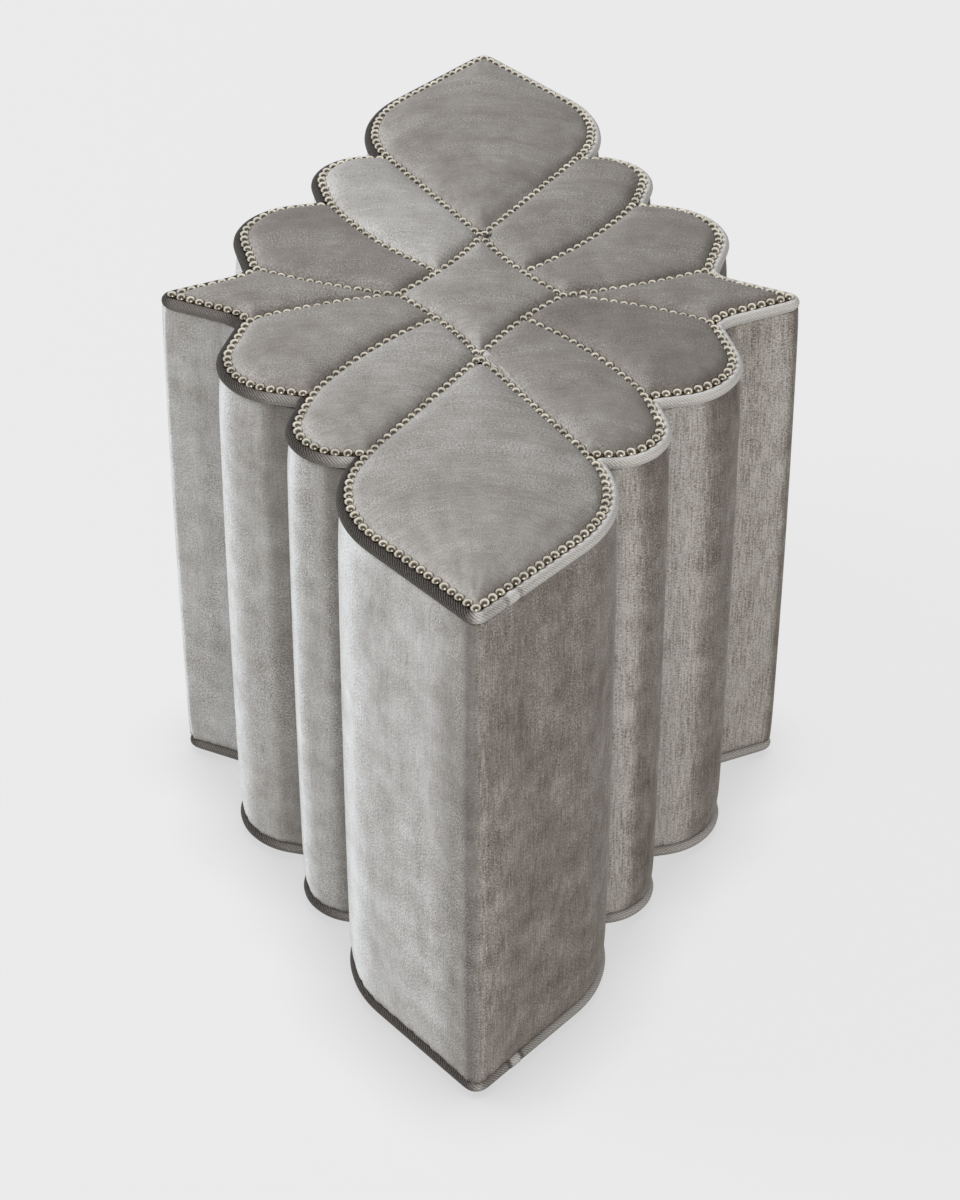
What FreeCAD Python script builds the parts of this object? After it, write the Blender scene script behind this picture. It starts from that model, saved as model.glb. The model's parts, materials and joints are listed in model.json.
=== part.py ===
import FreeCAD, Part
import Sketcher
import math
import os
from FreeCAD import Placement, Rotation, Vector

# Lotus-plan ottoman: a plywood frame with tenoned posts and battens, padded velvet covers round the sides,
# thirteen pads on top and a welt cord round each edge.
# Millimetres, +Z up, origin on the floor under the middle. The long axis is Y, and the front point is at -Y.

# Driving sizes. The plan is that of the seam line round the top, one quarter of it, mirrored in X and Y.
SIZES = {
    "tip_length": 425.3,        # middle to the sharp front and back points
    "tip_width": 247.3,         # middle to the sharp side points
    "tip_radius": 2.5,          # rounding of the points
    "shoulder_x": 114.2,        # corner that the shoulder of the front petal rounds off
    "shoulder_y": 288.1,
    "shoulder_radius": 94.5,
    "narrow_root_x": 126.2,     # where the narrow lobe's straight side ends and its seam begins
    "narrow_root_y": 151.0,
    "narrow_side": 80.0,        # root to the corner that the end of the lobe rounds off
    "narrow_lean": 76.3,        # direction of that side, in degrees from +X
    "narrow_radius": 38.2,
    "narrow_end_y": 231.9,      # where the lobe's end edge, under the front petal, meets the long axis
    "narrow_seam_x": 30.0,      # inner end of the seam, under the diamond
    "narrow_seam_y": 33.0,
    "narrow_seam_radius": 340.0,
    "wide_root_x": 180.9,       # the same for the wide lobe, whose end runs under the narrow lobe
    "wide_root_y": 41.0,
    "wide_side": 93.7,
    "wide_lean": 75.2,
    "wide_radius": 50.0,
    "wide_end_y": 178.9,
    "wide_seam_x": 64.0,
    "wide_seam_y": 0.5,
    "wide_seam_radius": 400.0,
    "flare_x": 190.5,           # hollow corner on each edge of a side petal
    "flare_y": 27.2,
    "flare_radius": 44.0,
    "flare_angle": 128.2,       # direction of the edge past that corner, in degrees from +X
    "flare_tuck": 30.0,         # how far that edge runs on under the wide lobe
    "diamond_length": 95.0,     # middle to the long points of the centre diamond
    "diamond_width": 66.0,      # middle to its side points
    "diamond_radius": 290.0,    # its hollow edges
    "axis_tuck": 6.0,           # how far a lobe runs past the middle lines, hidden under other leaves
    "welt_lift": 6.0,           # floor to the bottom welt
    "welt_width": 9.0,          # diameter of the covered cord
    "welt_reach": 3.8,          # seam line to the middle of the cord
    "cord_sag": 0.6,            # how far a straight length of cord may leave the round edge
    "seat_gap": 0.4,            # clearance where soft pieces meet others
    "frame_height": 438.0,      # underside of the base board to the top of the top board
    "board_thickness": 18.0,
    "cover_reach": 8.0,         # seam line to the face of the side covers
    "pad_height": 12.0,
    "pad_slope": 45.0,          # slope of the pads' edges, in degrees from upright
    "post_depth": 50.0,         # point of the plan to the inner face of the front and back posts
    "side_post_start": 18.8,    # hollow corner of a side petal to the inner face of a side post
    "batten_width": 32.0,
    "batten_depth": 20.0,       # thickness of a valley batten behind the valley
    "tenon_length": 9.0,
    "joint_gap": 0.3,           # play in the mortises and in the halving joint
    "stiffener_thickness": 18.0,
    "glide_width": 14.0,
    "glide_inset": 20.0,        # sharp side point to the middle of a side glide
    "glide_setback": 20.0,      # sharp front point to the middle of a front glide
    "dust_thickness": 0.8,
}

doc = FreeCAD.newDocument("Ottoman")
sheet = doc.addObject("Spreadsheet::Sheet", "Sizes")
for row, (alias, number) in enumerate(SIZES.items(), start=1):
    sheet.set(f"A{row}", alias)
    sheet.set(f"B{row}", str(number))
    sheet.setAlias(f"B{row}", alias)
doc.recompute()

# Heights and reaches that several pieces share, as expressions of the sizes.
BASE_LOW = "(Sizes.welt_lift + Sizes.welt_width + Sizes.seat_gap)"
BASE_TOP = f"({BASE_LOW} + Sizes.board_thickness)"
SEAT = f"({BASE_LOW} + Sizes.frame_height)"
POST_HEIGHT = "(Sizes.frame_height - 2 * Sizes.board_thickness)"
COVER_HEIGHT = "(Sizes.frame_height - Sizes.welt_width - 2 * Sizes.seat_gap)"
BOARD_EDGE = "(Sizes.welt_reach - Sizes.welt_width / 2 - Sizes.cord_sag - Sizes.seat_gap)"
HALF_GAP = "(Sizes.seat_gap / 2)"
SIDE_POST_FACE = "(Sizes.flare_x + Sizes.side_post_start)"

UP = Vector(0, 0, 1)
ACROSS = Vector(1, 0, 0)
ALONG = Vector(0, 1, 0)
VERTICAL_AXIS, HORIZONTAL_AXIS = range(-2, 0)
START, END = range(1, 3)
SHARP_BEND = 0.5
STRAIGHT = math.radians(2)
CORD_SIDES = 6
GLIDE_SIDES = 12


def value(expression):
    """Number that an expression of the sizes has now."""
    found = sheet.evalExpression(expression)
    return float(getattr(found, "Value", found))


def add(kind, name, **settings):
    """Object of the document with its links and plain settings."""
    made = doc.addObject(kind, name)
    for key, setting in settings.items():
        setattr(made, key, setting)
    return made


def bind(made, **expressions):
    """Ties properties of an object to the sheet. A double underscore stands for a dot."""
    for key, expression in expressions.items():
        made.setExpression(key.replace("__", "."), expression)
    return made


# Outline sketches

def corner(x, y, radius=None, bow=None):
    """Corner of an outline: its place, its rounding, and the radius of the edge that follows, if bowed.

    A bowed edge bulges to the left of its direction.
    """
    return {"x": x, "y": y, "radius": radius, "bow": bow, "at": Vector(value(x), value(y), 0)}


def rounding(before, here, after):
    """Tangent points and centre of the arc that rounds a corner."""
    to_before = (before["at"] - here["at"]).normalize()
    to_after = (after["at"] - here["at"]).normalize()
    half_angle = to_before.getAngle(to_after) / 2
    radius = value(here["radius"])
    reach = radius / math.tan(half_angle)
    bisector = (to_before + to_after).normalize()
    centre = here["at"] + bisector * (radius / math.sin(half_angle))
    return here["at"] + to_before * reach, here["at"] + to_after * reach, centre


def arc_between(first, last, centre):
    """The shorter arc from one point to another about a centre."""
    radius = (first - centre).Length
    middle = centre + ((first + last) / 2 - centre).normalize() * radius
    return Part.Arc(first, middle, last)


def bowed_edge(first, last, radius):
    """Arc of a given radius from one point to another, bulging to the left."""
    half = (last - first) / 2
    left = UP.cross(half).normalize()
    centre = first + half - left * math.sqrt(radius ** 2 - half.Length ** 2)
    return arc_between(first, last, centre)


def end_of(sketch, edge, point):
    """Which end of a sketch edge lies at a point."""
    gap = (sketch.getPoint(edge, START) - point).Length
    return START if gap < (sketch.getPoint(edge, END) - point).Length else END


def place_point(sketch, edge, end, spot):
    """Ties a point of a sketch to the place of a corner."""
    for kind, key, axis in (("DistanceX", "x", VERTICAL_AXIS), ("DistanceY", "y", HORIZONTAL_AXIS)):
        if spot[key] == "0":
            sketch.addConstraint(Sketcher.Constraint("PointOnObject", edge, end, axis))
        else:
            number = value(spot[key])
            index = sketch.addConstraint(Sketcher.Constraint(kind, -1, 1, edge, end, number))
            sketch.setExpression(f"Constraints[{index}]", spot[key])


def set_radius(sketch, edge, expression):
    index = sketch.addConstraint(Sketcher.Constraint("Radius", edge, value(expression)))
    sketch.setExpression(f"Constraints[{index}]", expression)


def outline(name, corners):
    """Closed sketch through the corners, fully tied to the sheet."""
    sketch = doc.addObject("Sketcher::SketchObject", name)
    count = len(corners)
    spans = []
    for index, here in enumerate(corners):
        before, after = corners[index - 1], corners[(index + 1) % count]
        spans.append(rounding(before, here, after) if here["radius"] else (here["at"], here["at"], None))
    edges, arcs = [], {}
    for index, here in enumerate(corners):
        arrive, leave, centre = spans[index]
        if centre:
            arcs[index] = sketch.addGeometry(arc_between(arrive, leave, centre))
        goal = spans[(index + 1) % count][0]
        if here["bow"]:
            edges.append(sketch.addGeometry(bowed_edge(leave, goal, value(here["bow"]))))
        else:
            edges.append(sketch.addGeometry(Part.LineSegment(leave, goal)))
    for index, here in enumerate(corners):
        arrive, leave, centre = spans[index]
        inward, outward = edges[index - 1], edges[index]
        if centre:
            bend = arcs[index]
            for edge, point in ((inward, arrive), (outward, leave)):
                ends = (edge, end_of(sketch, edge, point), bend, end_of(sketch, bend, point))
                sketch.addConstraint(Sketcher.Constraint("Tangent", *ends))
            set_radius(sketch, bend, here["radius"])
            mark = sketch.addGeometry(Part.Point(here["at"]), True)
            place_point(sketch, mark, START, here)
            for edge in (inward, outward):
                sketch.addConstraint(Sketcher.Constraint("PointOnObject", mark, START, edge))
        else:
            ends = (inward, end_of(sketch, inward, arrive), outward, end_of(sketch, outward, leave))
            sketch.addConstraint(Sketcher.Constraint("Coincident", *ends))
            place_point(sketch, outward, ends[3], here)
        if here["bow"]:
            set_radius(sketch, outward, here["bow"])
    return sketch


def petal_outline():
    """Front and back petal: a point, two broad shoulders and a root at the diamond."""
    return outline("petal_outline", [
        corner("0", "Sizes.tip_length", "Sizes.tip_radius"),
        corner("Sizes.shoulder_x", "Sizes.shoulder_y", "Sizes.shoulder_radius"),
        corner("0", "Sizes.diamond_length"),
        corner("-Sizes.shoulder_x", "Sizes.shoulder_y", "Sizes.shoulder_radius"),
    ])


def lobe_outline(lobe):
    """Rounded lobe: end edge, rounded end, straight side and a bowed seam back to the middle."""
    tip_x = f"Sizes.{lobe}_root_x + Sizes.{lobe}_side * cos(Sizes.{lobe}_lean)"
    tip_y = f"Sizes.{lobe}_root_y + Sizes.{lobe}_side * sin(Sizes.{lobe}_lean)"
    return outline(f"{lobe}_lobe_outline", [
        corner("-Sizes.axis_tuck", f"Sizes.{lobe}_end_y"),
        corner(tip_x, tip_y, f"Sizes.{lobe}_radius"),
        corner(f"Sizes.{lobe}_root_x", f"Sizes.{lobe}_root_y", bow=f"Sizes.{lobe}_seam_radius"),
        corner(f"Sizes.{lobe}_seam_x", f"Sizes.{lobe}_seam_y"),
        corner("-Sizes.axis_tuck", "-Sizes.axis_tuck"),
    ])


def side_outline():
    """Side petal: a point whose two edges hollow in before they pass under the wide lobes."""
    tuck_x = "Sizes.flare_x + Sizes.flare_tuck * cos(Sizes.flare_angle)"
    tuck_y = "(Sizes.flare_y + Sizes.flare_tuck * sin(Sizes.flare_angle))"
    return outline("side_petal_outline", [
        corner("Sizes.tip_width", "0", "Sizes.tip_radius"),
        corner("Sizes.flare_x", "-Sizes.flare_y", "Sizes.flare_radius"),
        corner(tuck_x, f"-{tuck_y}"),
        corner("-Sizes.axis_tuck", "0"),
        corner(tuck_x, tuck_y),
        corner("Sizes.flare_x", "Sizes.flare_y", "Sizes.flare_radius"),
    ])


def diamond_outline():
    """Centre diamond with four hollow edges."""
    hollow = "Sizes.diamond_radius"
    return outline("diamond_outline", [
        corner("0", "Sizes.diamond_length", bow=hollow),
        corner("-Sizes.diamond_width", "0", bow=hollow),
        corner("0", "-Sizes.diamond_length", bow=hollow),
        corner("Sizes.diamond_width", "0", bow=hollow),
    ])


PETAL = petal_outline()
NARROW = lobe_outline("narrow")
WIDE = lobe_outline("wide")
SIDE = side_outline()
DIAMOND = diamond_outline()
LEAVES = {"petal": PETAL, "narrow": NARROW, "wide": WIDE, "side": SIDE}


# Building blocks

def prism(name, sketch, grow, low, tall, slope=None):
    """Upright prism over an outline, or over one grown by some reach, standing at a height."""
    base = sketch
    if grow:
        base = bind(add("Part::Offset2D", f"{name}_plan", Source=sketch), Value=grow)
    made = add("Part::Extrusion", name, Base=base, DirMode="Custom", Dir=UP, Solid=True)
    bind(made, LengthFwd=tall, Placement__Base__z=low)
    if slope:
        bind(made, TaperAngle=slope)
    return made


def mirrored(made, name, normal):
    return add("Part::Mirroring", name, Source=made, Normal=normal)


def cut(name, base, *tools):
    """Base with each tool taken away in turn."""
    for index, tool in enumerate(tools):
        label = name if index == len(tools) - 1 else f"{name}_step_{index + 1}"
        base = add("Part::Cut", label, Base=base, Tool=tool, Refine=True)
    return base


def lotus(name, grow, low, tall):
    """The whole plan, grown by some reach, as one prism: twelve leaves joined."""
    leaves = []
    for leaf, sketch in LEAVES.items():
        one = prism(f"{name}_{leaf}", sketch, grow, low, tall)
        leaves.append(one)
        if leaf != "petal":
            other = mirrored(one, f"{name}_{leaf}_left", ACROSS)
            leaves.append(other)
        if leaf in ("narrow", "wide"):
            leaves.append(mirrored(other, f"{name}_{leaf}_front_left", ALONG))
        if leaf != "side":
            leaves.append(mirrored(one, f"{name}_{leaf}_front", ALONG))
    return add("Part::MultiFuse", name, Shapes=leaves, Refine=True)


pieces = {}


def keep(node, made):
    """Takes an object as a piece of the ottoman, under its own name."""
    made.Label = node
    pieces[node] = made
    return made


def keep_petal(piece, made):
    """Back petal as made, and its mirror image at the front."""
    keep(f"back_petal_{piece}", made)
    keep(f"front_petal_{piece}", mirrored(made, f"front_petal_{piece}", ALONG))


def keep_side(piece, made):
    """Right petal as made, and its mirror image at the left."""
    keep(f"right_petal_{piece}", made)
    keep(f"left_petal_{piece}", mirrored(made, f"left_petal_{piece}", ACROSS))


def keep_quarters(name, made):
    """Back right piece as made, and its three mirror images."""
    keep(f"{name}_back_right", made)
    left = keep(f"{name}_back_left", mirrored(made, f"{name}_back_left", ACROSS))
    keep(f"{name}_front_right", mirrored(made, f"{name}_front_right", ALONG))
    keep(f"{name}_front_left", mirrored(left, f"{name}_front_left", ALONG))


def keep_leaves(piece, petal, narrow, wide, side):
    """One piece to each of the twelve leaves."""
    keep_petal(piece, petal)
    keep_quarters(f"narrow_lobe_{piece}", narrow)
    keep_quarters(f"wide_lobe_{piece}", wide)
    keep_side(piece, side)


# Sides

def side_covers(core):
    """Padded covers round the frame, one to each leaf. A cover ends where the leaf over it begins."""
    petal, narrow, wide, side = [
        prism(f"{leaf}_cover_block", sketch, "Sizes.cover_reach", BASE_LOW, COVER_HEIGHT)
        for leaf, sketch in LEAVES.items()
    ]
    wide_front = mirrored(wide, "wide_cover_block_front", ALONG)
    keep_leaves(
        "cover",
        cut("petal_cover", petal, core),
        cut("narrow_cover", narrow, core, petal),
        cut("wide_cover", wide, core, narrow),
        cut("side_cover", side, core, wide, wide_front),
    )


frame_block = lotus("frame_block", BOARD_EDGE, BASE_LOW, "Sizes.frame_height")
side_covers(frame_block)


# Top

def top_pads():
    """Thirteen pads with sloping edges, which meet along the seam lines."""
    def block(name, sketch):
        return prism(name, sketch, f"-{HALF_GAP}", SEAT, "Sizes.pad_height", "-Sizes.pad_slope")

    def room(name, sketch):
        return prism(name, sketch, HALF_GAP, SEAT, "Sizes.pad_height", "Sizes.pad_slope")

    petal_room = room("petal_room", PETAL)
    narrow_room = room("narrow_room", NARROW)
    wide_room = room("wide_room", WIDE)
    wide_room_front = mirrored(wide_room, "wide_room_front", ALONG)
    diamond_room = room("diamond_room", DIAMOND)
    far_side = add("Part::Box", "far_side")
    bind(far_side, Length="2 * Sizes.axis_tuck", Width="Sizes.tip_length", Height="Sizes.pad_height")
    bind(far_side, Placement__Base__x="-2 * Sizes.axis_tuck", Placement__Base__z=SEAT)
    keep_leaves(
        "pad",
        block("petal_pad", PETAL),
        cut("narrow_pad", block("narrow_pad_block", NARROW), petal_room, diamond_room, far_side),
        cut("wide_pad", block("wide_pad_block", WIDE), narrow_room, diamond_room),
        cut("side_pad", block("side_pad_block", SIDE), wide_room, wide_room_front, diamond_room),
    )


def centre_pad():
    """Diamond pad: a rhombus block whose hollow edges are cut by four cones."""
    long_point, side_point = "Sizes.diamond_length", "Sizes.diamond_width"
    rhombus = outline("rhombus_outline", [
        corner("0", long_point),
        corner(f"-{side_point}", "0"),
        corner("0", f"-{long_point}"),
        corner(side_point, "0"),
    ])
    block = prism("diamond_block", rhombus, None, SEAT, "Sizes.pad_height")
    middle = Vector(value(side_point), value(long_point), 0) / 2
    outward = Vector(middle.y, middle.x, 0).normalize()
    rise = math.sqrt(value("Sizes.diamond_radius") ** 2 - middle.Length ** 2)
    low_radius = f"Sizes.diamond_radius + {HALF_GAP}"
    cone = add("Part::Cone", "diamond_edge")
    bind(cone, Radius1=low_radius, Radius2=f"{low_radius} + Sizes.pad_height * tan(Sizes.pad_slope)")
    bind(cone, Height="Sizes.pad_height")
    cone.Placement.Base = middle + outward * rise + UP * value(SEAT)
    left = mirrored(cone, "diamond_edge_left", ACROSS)
    front = mirrored(cone, "diamond_edge_front", ALONG)
    front_left = mirrored(left, "diamond_edge_front_left", ALONG)
    keep("diamond_pad", cut("diamond_pad", block, cone, left, front, front_left))


top_pads()
centre_pad()
doc.recompute()


# Frame: posts, battens, stiffeners, glides and boards

def direction(edge, ending):
    """Direction in which a wire runs at the start or the end of one of its edges."""
    forward = edge.Orientation == "Forward"
    tangent = edge.tangentAt(edge.LastParameter if ending == forward else edge.FirstParameter)
    return tangent if forward else -tangent


def edge_runs(block):
    """Outer edge of a prism's underside, as runs of edges from one inward corner to the next."""
    low = block.Shape.BoundBox.ZMin
    underside = [face for face in block.Shape.Faces if abs(face.BoundBox.ZMax - low) < 1e-6][0]
    edges = underside.OuterWire.OrderedEdges
    bends = [direction(edges[index - 1], True).cross(direction(edge, False)).dot(UP) > SHARP_BEND
             for index, edge in enumerate(edges)]
    first = bends.index(True)
    runs = []
    for bend, edge in zip(bends[first:] + bends[:first], edges[first:] + edges[:first]):
        if bend:
            runs.append([])
        runs[-1].append(edge)
    return runs


def valleys():
    """The three inward corners of the frame's outline in the back right quarter, with inward directions."""
    runs = edge_runs(frame_block)
    found = []
    for before, after in zip(runs[-1:] + runs[:-1], runs):
        spot = after[0].firstVertex(True).Point
        if spot.x > 0 and spot.y > 0:
            inward = (direction(before[-1], True) - direction(after[0], False)).normalize()
            found.append((spot, inward))
    return sorted(found, key=lambda valley: -valley[0].y)


def upright_box(name, length, width, low, tall, centre, turn=Rotation()):
    """Upright box about a point of the plan, its length turned to a direction."""
    box = bind(add("Part::Box", name), Length=length, Width=width, Height=tall)
    spot = centre - turn.multVec(Vector(value(length) / 2, value(width) / 2, 0))
    spot.z = value(low)
    box.Placement = Placement(spot, turn)
    return box


def tenoned(name, block, length, width, centre, turn=Rotation()):
    """An upright with a stub tenon at each end, and the tool that cuts its two mortises."""
    low = f"{BASE_TOP} - Sizes.tenon_length"
    tall = f"{POST_HEIGHT} + 2 * Sizes.tenon_length"
    tenon = upright_box(f"{name}_tenon", length, width, low, tall, centre, turn)
    gap = "Sizes.joint_gap"
    mortise = upright_box(f"{name}_mortise", f"{length} + 2 * {gap}", f"{width} + 2 * {gap}",
                          f"{low} - {gap}", f"{tall} + 2 * {gap}", centre, turn)
    return add("Part::Fuse", name, Base=block, Tool=tenon, Refine=True), mortise


def corner_post(name, sketch, tip, depth, turn):
    """Wedge that fills a point of the plan between the boards, with slim tenons on its middle line."""
    wedge = prism(f"{name}_wedge", sketch, BOARD_EDGE, BASE_TOP, POST_HEIGHT)
    inward = turn.multVec(-ACROSS)
    point = turn.multVec(ACROSS) * value(tip)
    size_box = upright_box(f"{name}_box", f"2 * {depth}", f"4 * {depth}", BASE_TOP, POST_HEIGHT, point, turn)
    block = add("Part::Common", f"{name}_block", Base=wedge, Tool=size_box, Refine=True)
    centre = point + inward * (value(depth) * 2 / 3)
    return tenoned(name, block, f"{depth} / 3", f"{depth} / 6", centre, turn)


def valley_batten(name, spot, inward):
    """Batten notched to a valley, with tenons half as wide and half as thick."""
    turn = Rotation(ACROSS, inward)
    depth, width = "Sizes.batten_depth", "Sizes.batten_width"
    block = upright_box(f"{name}_box", f"2 * {depth}", width, BASE_TOP, POST_HEIGHT, spot, turn)
    notched = add("Part::Common", f"{name}_block", Base=block, Tool=frame_block, Refine=True)
    centre = spot + inward * (value(depth) / 2)
    return tenoned(name, notched, f"{depth} / 2", f"{width} / 2", centre, turn)


def stiffener(name, plane, half_length, slot_low):
    """Plywood panel between two posts, with half of a halving joint in the middle."""
    body = doc.addObject("PartDesign::Body", name)
    face = [item for item in body.Origin.OriginFeatures if item.Role == plane][0]
    rectangles = {
        "panel": (f"-{half_length}", half_length, BASE_TOP, f"{BASE_TOP} + {POST_HEIGHT}"),
        "slot": (
            "-(Sizes.stiffener_thickness / 2 + Sizes.joint_gap)",
            "(Sizes.stiffener_thickness / 2 + Sizes.joint_gap)",
            slot_low,
            f"{slot_low} + {POST_HEIGHT} / 2",
        ),
    }
    for part, (left, right, low, high) in rectangles.items():
        sketch = body.newObject("Sketcher::SketchObject", f"{name}_{part}_outline")
        sketch.AttachmentSupport = [(face, "")]
        sketch.MapMode = "FlatFace"
        spots = [corner(left, low), corner(right, low), corner(right, high), corner(left, high)]
        for here, after in zip(spots, spots[1:] + spots[:1]):
            sketch.addGeometry(Part.LineSegment(here["at"], after["at"]))
        for edge, here in enumerate(spots):
            sketch.addConstraint(Sketcher.Constraint("Coincident", (edge - 1) % 4, END, edge, START))
            place_point(sketch, edge, START, here)
        if part == "panel":
            pad = body.newObject("PartDesign::Pad", f"{name}_panel")
            pad.Profile = sketch
            pad.Midplane = True
            bind(pad, Length="Sizes.stiffener_thickness")
        else:
            pocket = body.newObject("PartDesign::Pocket", f"{name}_slot")
            pocket.Profile = sketch
            pocket.Midplane = True
            bind(pocket, Length="2 * Sizes.stiffener_thickness")
        doc.recompute()
    return body


def glide(name, x, y):
    """Small foot under a point, up to the dust cover."""
    foot = add("Part::Prism", name, Polygon=GLIDE_SIDES)
    bind(foot, Circumradius="Sizes.glide_width / 2", Height=f"{BASE_LOW} - Sizes.dust_thickness")
    return bind(foot, Placement__Base__x=x, Placement__Base__y=y)


back_post, back_mortise = corner_post(
    "back_post", PETAL, "Sizes.tip_length", "Sizes.post_depth", Rotation(ACROSS, ALONG))
right_post, right_mortise = corner_post(
    "right_post", SIDE, "Sizes.tip_width", f"(Sizes.tip_width - {SIDE_POST_FACE})", Rotation())
keep("back_post", back_post)
keep("front_post", mirrored(back_post, "front_post", ALONG))
keep("right_post", right_post)
keep("left_post", mirrored(right_post, "left_post", ACROSS))
mortises = [back_mortise, mirrored(back_mortise, "front_mortise", ALONG)]
mortises += [right_mortise, mirrored(right_mortise, "left_mortise", ACROSS)]

for place, (spot, inward) in zip(("inner", "middle", "outer"), valleys()):
    batten, mortise = valley_batten(f"{place}_batten", spot, inward)
    keep_quarters(f"{place}_batten", batten)
    left = mirrored(mortise, f"{place}_mortise_left", ACROSS)
    mortises += [mortise, left, mirrored(mortise, f"{place}_mortise_front", ALONG)]
    mortises.append(mirrored(left, f"{place}_mortise_front_left", ALONG))

half_height = f"{BASE_TOP} + {POST_HEIGHT} / 2"
long_half = "(Sizes.tip_length - Sizes.post_depth)"
cross_half = SIDE_POST_FACE
keep("long_stiffener", stiffener("long_stiffener", "YZ_Plane", long_half, half_height))
keep("cross_stiffener", stiffener("cross_stiffener", "XZ_Plane", cross_half, BASE_TOP))

glide_y = "(Sizes.tip_length - Sizes.glide_setback)"
glide_x = "(Sizes.tip_width - Sizes.glide_inset)"
keep("back_glide", glide("back_glide", "0", glide_y))
keep("front_glide", glide("front_glide", "0", f"-{glide_y}"))
keep("right_glide", glide("right_glide", glide_x, "0"))
keep("left_glide", glide("left_glide", f"-{glide_x}", "0"))

board = "Sizes.board_thickness"
base_plan = lotus("base_plan", BOARD_EDGE, BASE_LOW, board)
top_plan = lotus("top_plan", BOARD_EDGE, f"{SEAT} - {board}", board)
mortise_set = add("Part::Compound", "mortises", Links=mortises)
keep("base_board", cut("base_board", base_plan, mortise_set))
keep("top_board", cut("top_board", top_plan, mortise_set))
doc.recompute()


# Welts and dust cover

def cord_corners(block):
    """Corners of a cord along the edge of a plan, with arcs taken as chords.

    Close to an inward corner it has no others, so that the mitre there is clean.
    """
    room = value("Sizes.welt_width")
    corners = []
    for run in edge_runs(block):
        points = []
        for edge in run:
            chords = edge.discretize(Deflection=value("Sizes.cord_sag"))
            points += (chords if edge.Orientation == "Forward" else chords[::-1])[:-1]
        first, last = points[0], run[-1].lastVertex(True).Point
        corners.append(first)
        corners += [point for point in points if min((point - first).Length, (point - last).Length) > room]
    threes = zip(corners[-1:] + corners[:-1], corners, corners[1:] + corners[:1])
    return [here for before, here, after in threes if (here - before).getAngle(after - here) > STRAIGHT]


def cord_ring(before, here, after):
    """Corners of the cord's section where two straight lengths meet in a mitre."""
    left = UP.cross(here - before).normalize()
    mitre = (left + UP.cross(after - here).normalize()).normalize()
    across = mitre * (value("Sizes.welt_width / 2") / mitre.dot(left))
    upward = UP * value("Sizes.welt_width / 2")
    turns = [2 * math.pi * (side + 0.5) / CORD_SIDES for side in range(CORD_SIDES)]
    return [here + across * math.sin(turn) + upward * math.cos(turn) for turn in turns]


def welt(name, block, height):
    """Cord along the edge of a plan, mitred from straight lengths, its middle at a height."""
    middle = value(height)
    corners = [Vector(point.x, point.y, middle) for point in cord_corners(block)]
    threes = zip(corners[-1:] + corners[:-1], corners, corners[1:] + corners[:1])
    rings = [cord_ring(*three) for three in threes]
    sides = []
    for ring, further in zip(rings, rings[1:] + rings[:1]):
        for side in range(CORD_SIDES):
            edge = [ring[side - 1], ring[side], further[side], further[side - 1], ring[side - 1]]
            sides.append(Part.Face(Part.makePolygon(edge)))
    made = add("Part::Feature", name)
    made.Shape = Part.Solid(Part.Shell(sides))
    return made


welt_plan = lotus("welt_plan", "Sizes.welt_reach", "0", "Sizes.welt_width")
doc.recompute()
cloth = Part.Face(Part.makePolygon(cord_corners(frame_block), True))
dust_cover = add("Part::Feature", "dust_cover")
dust_cover.Shape = cloth.extrude(UP * -value("Sizes.dust_thickness"))
keep("dust_cover", dust_cover)
keep("bottom_welt", welt("bottom_welt", welt_plan, "Sizes.welt_lift + Sizes.welt_width / 2"))
keep("top_welt", welt("top_welt", welt_plan, f"{SEAT} - Sizes.seat_gap - Sizes.welt_width / 2"))
doc.recompute()

# Every object has to be sound before anything is written.
for made in doc.Objects:
    if "Invalid" in made.State or "Error" in made.State:
        raise RuntimeError(f"{made.Label} failed: {made.State}")
for node, made in pieces.items():
    if made.Shape.isNull() or not made.Shape.isValid():
        raise RuntimeError(f"{node} is not a sound solid")

os.makedirs("parts", exist_ok=True)
for node, made in pieces.items():
    made.Shape.exportStep(f"parts/{node}.step")
    print(node, len(made.Shape.Solids), round(made.Shape.Volume))
print(len(pieces), "pieces")
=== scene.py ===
import json
import math
import bpy
import numpy as np
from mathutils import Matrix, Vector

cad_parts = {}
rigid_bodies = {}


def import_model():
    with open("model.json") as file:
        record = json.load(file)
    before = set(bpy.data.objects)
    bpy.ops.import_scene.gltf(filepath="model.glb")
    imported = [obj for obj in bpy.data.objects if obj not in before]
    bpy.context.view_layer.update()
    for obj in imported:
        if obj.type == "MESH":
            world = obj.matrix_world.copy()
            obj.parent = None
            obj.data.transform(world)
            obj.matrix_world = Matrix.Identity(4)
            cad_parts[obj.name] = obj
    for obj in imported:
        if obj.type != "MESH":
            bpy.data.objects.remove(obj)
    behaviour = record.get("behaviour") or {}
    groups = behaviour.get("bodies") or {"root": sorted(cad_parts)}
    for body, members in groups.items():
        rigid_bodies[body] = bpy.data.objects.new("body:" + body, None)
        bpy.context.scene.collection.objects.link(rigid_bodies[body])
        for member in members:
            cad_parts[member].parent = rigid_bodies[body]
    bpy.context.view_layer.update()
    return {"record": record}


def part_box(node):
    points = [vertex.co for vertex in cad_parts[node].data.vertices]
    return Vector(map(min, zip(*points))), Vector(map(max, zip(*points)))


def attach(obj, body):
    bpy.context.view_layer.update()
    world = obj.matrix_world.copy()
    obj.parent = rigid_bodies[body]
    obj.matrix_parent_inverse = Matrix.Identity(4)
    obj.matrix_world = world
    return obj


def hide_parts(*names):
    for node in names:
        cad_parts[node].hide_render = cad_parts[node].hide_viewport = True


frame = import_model()
scene = bpy.context.scene
mm = 0.001
tiny = 1e-9      # stands in for a length of nothing where one is divided by

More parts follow.
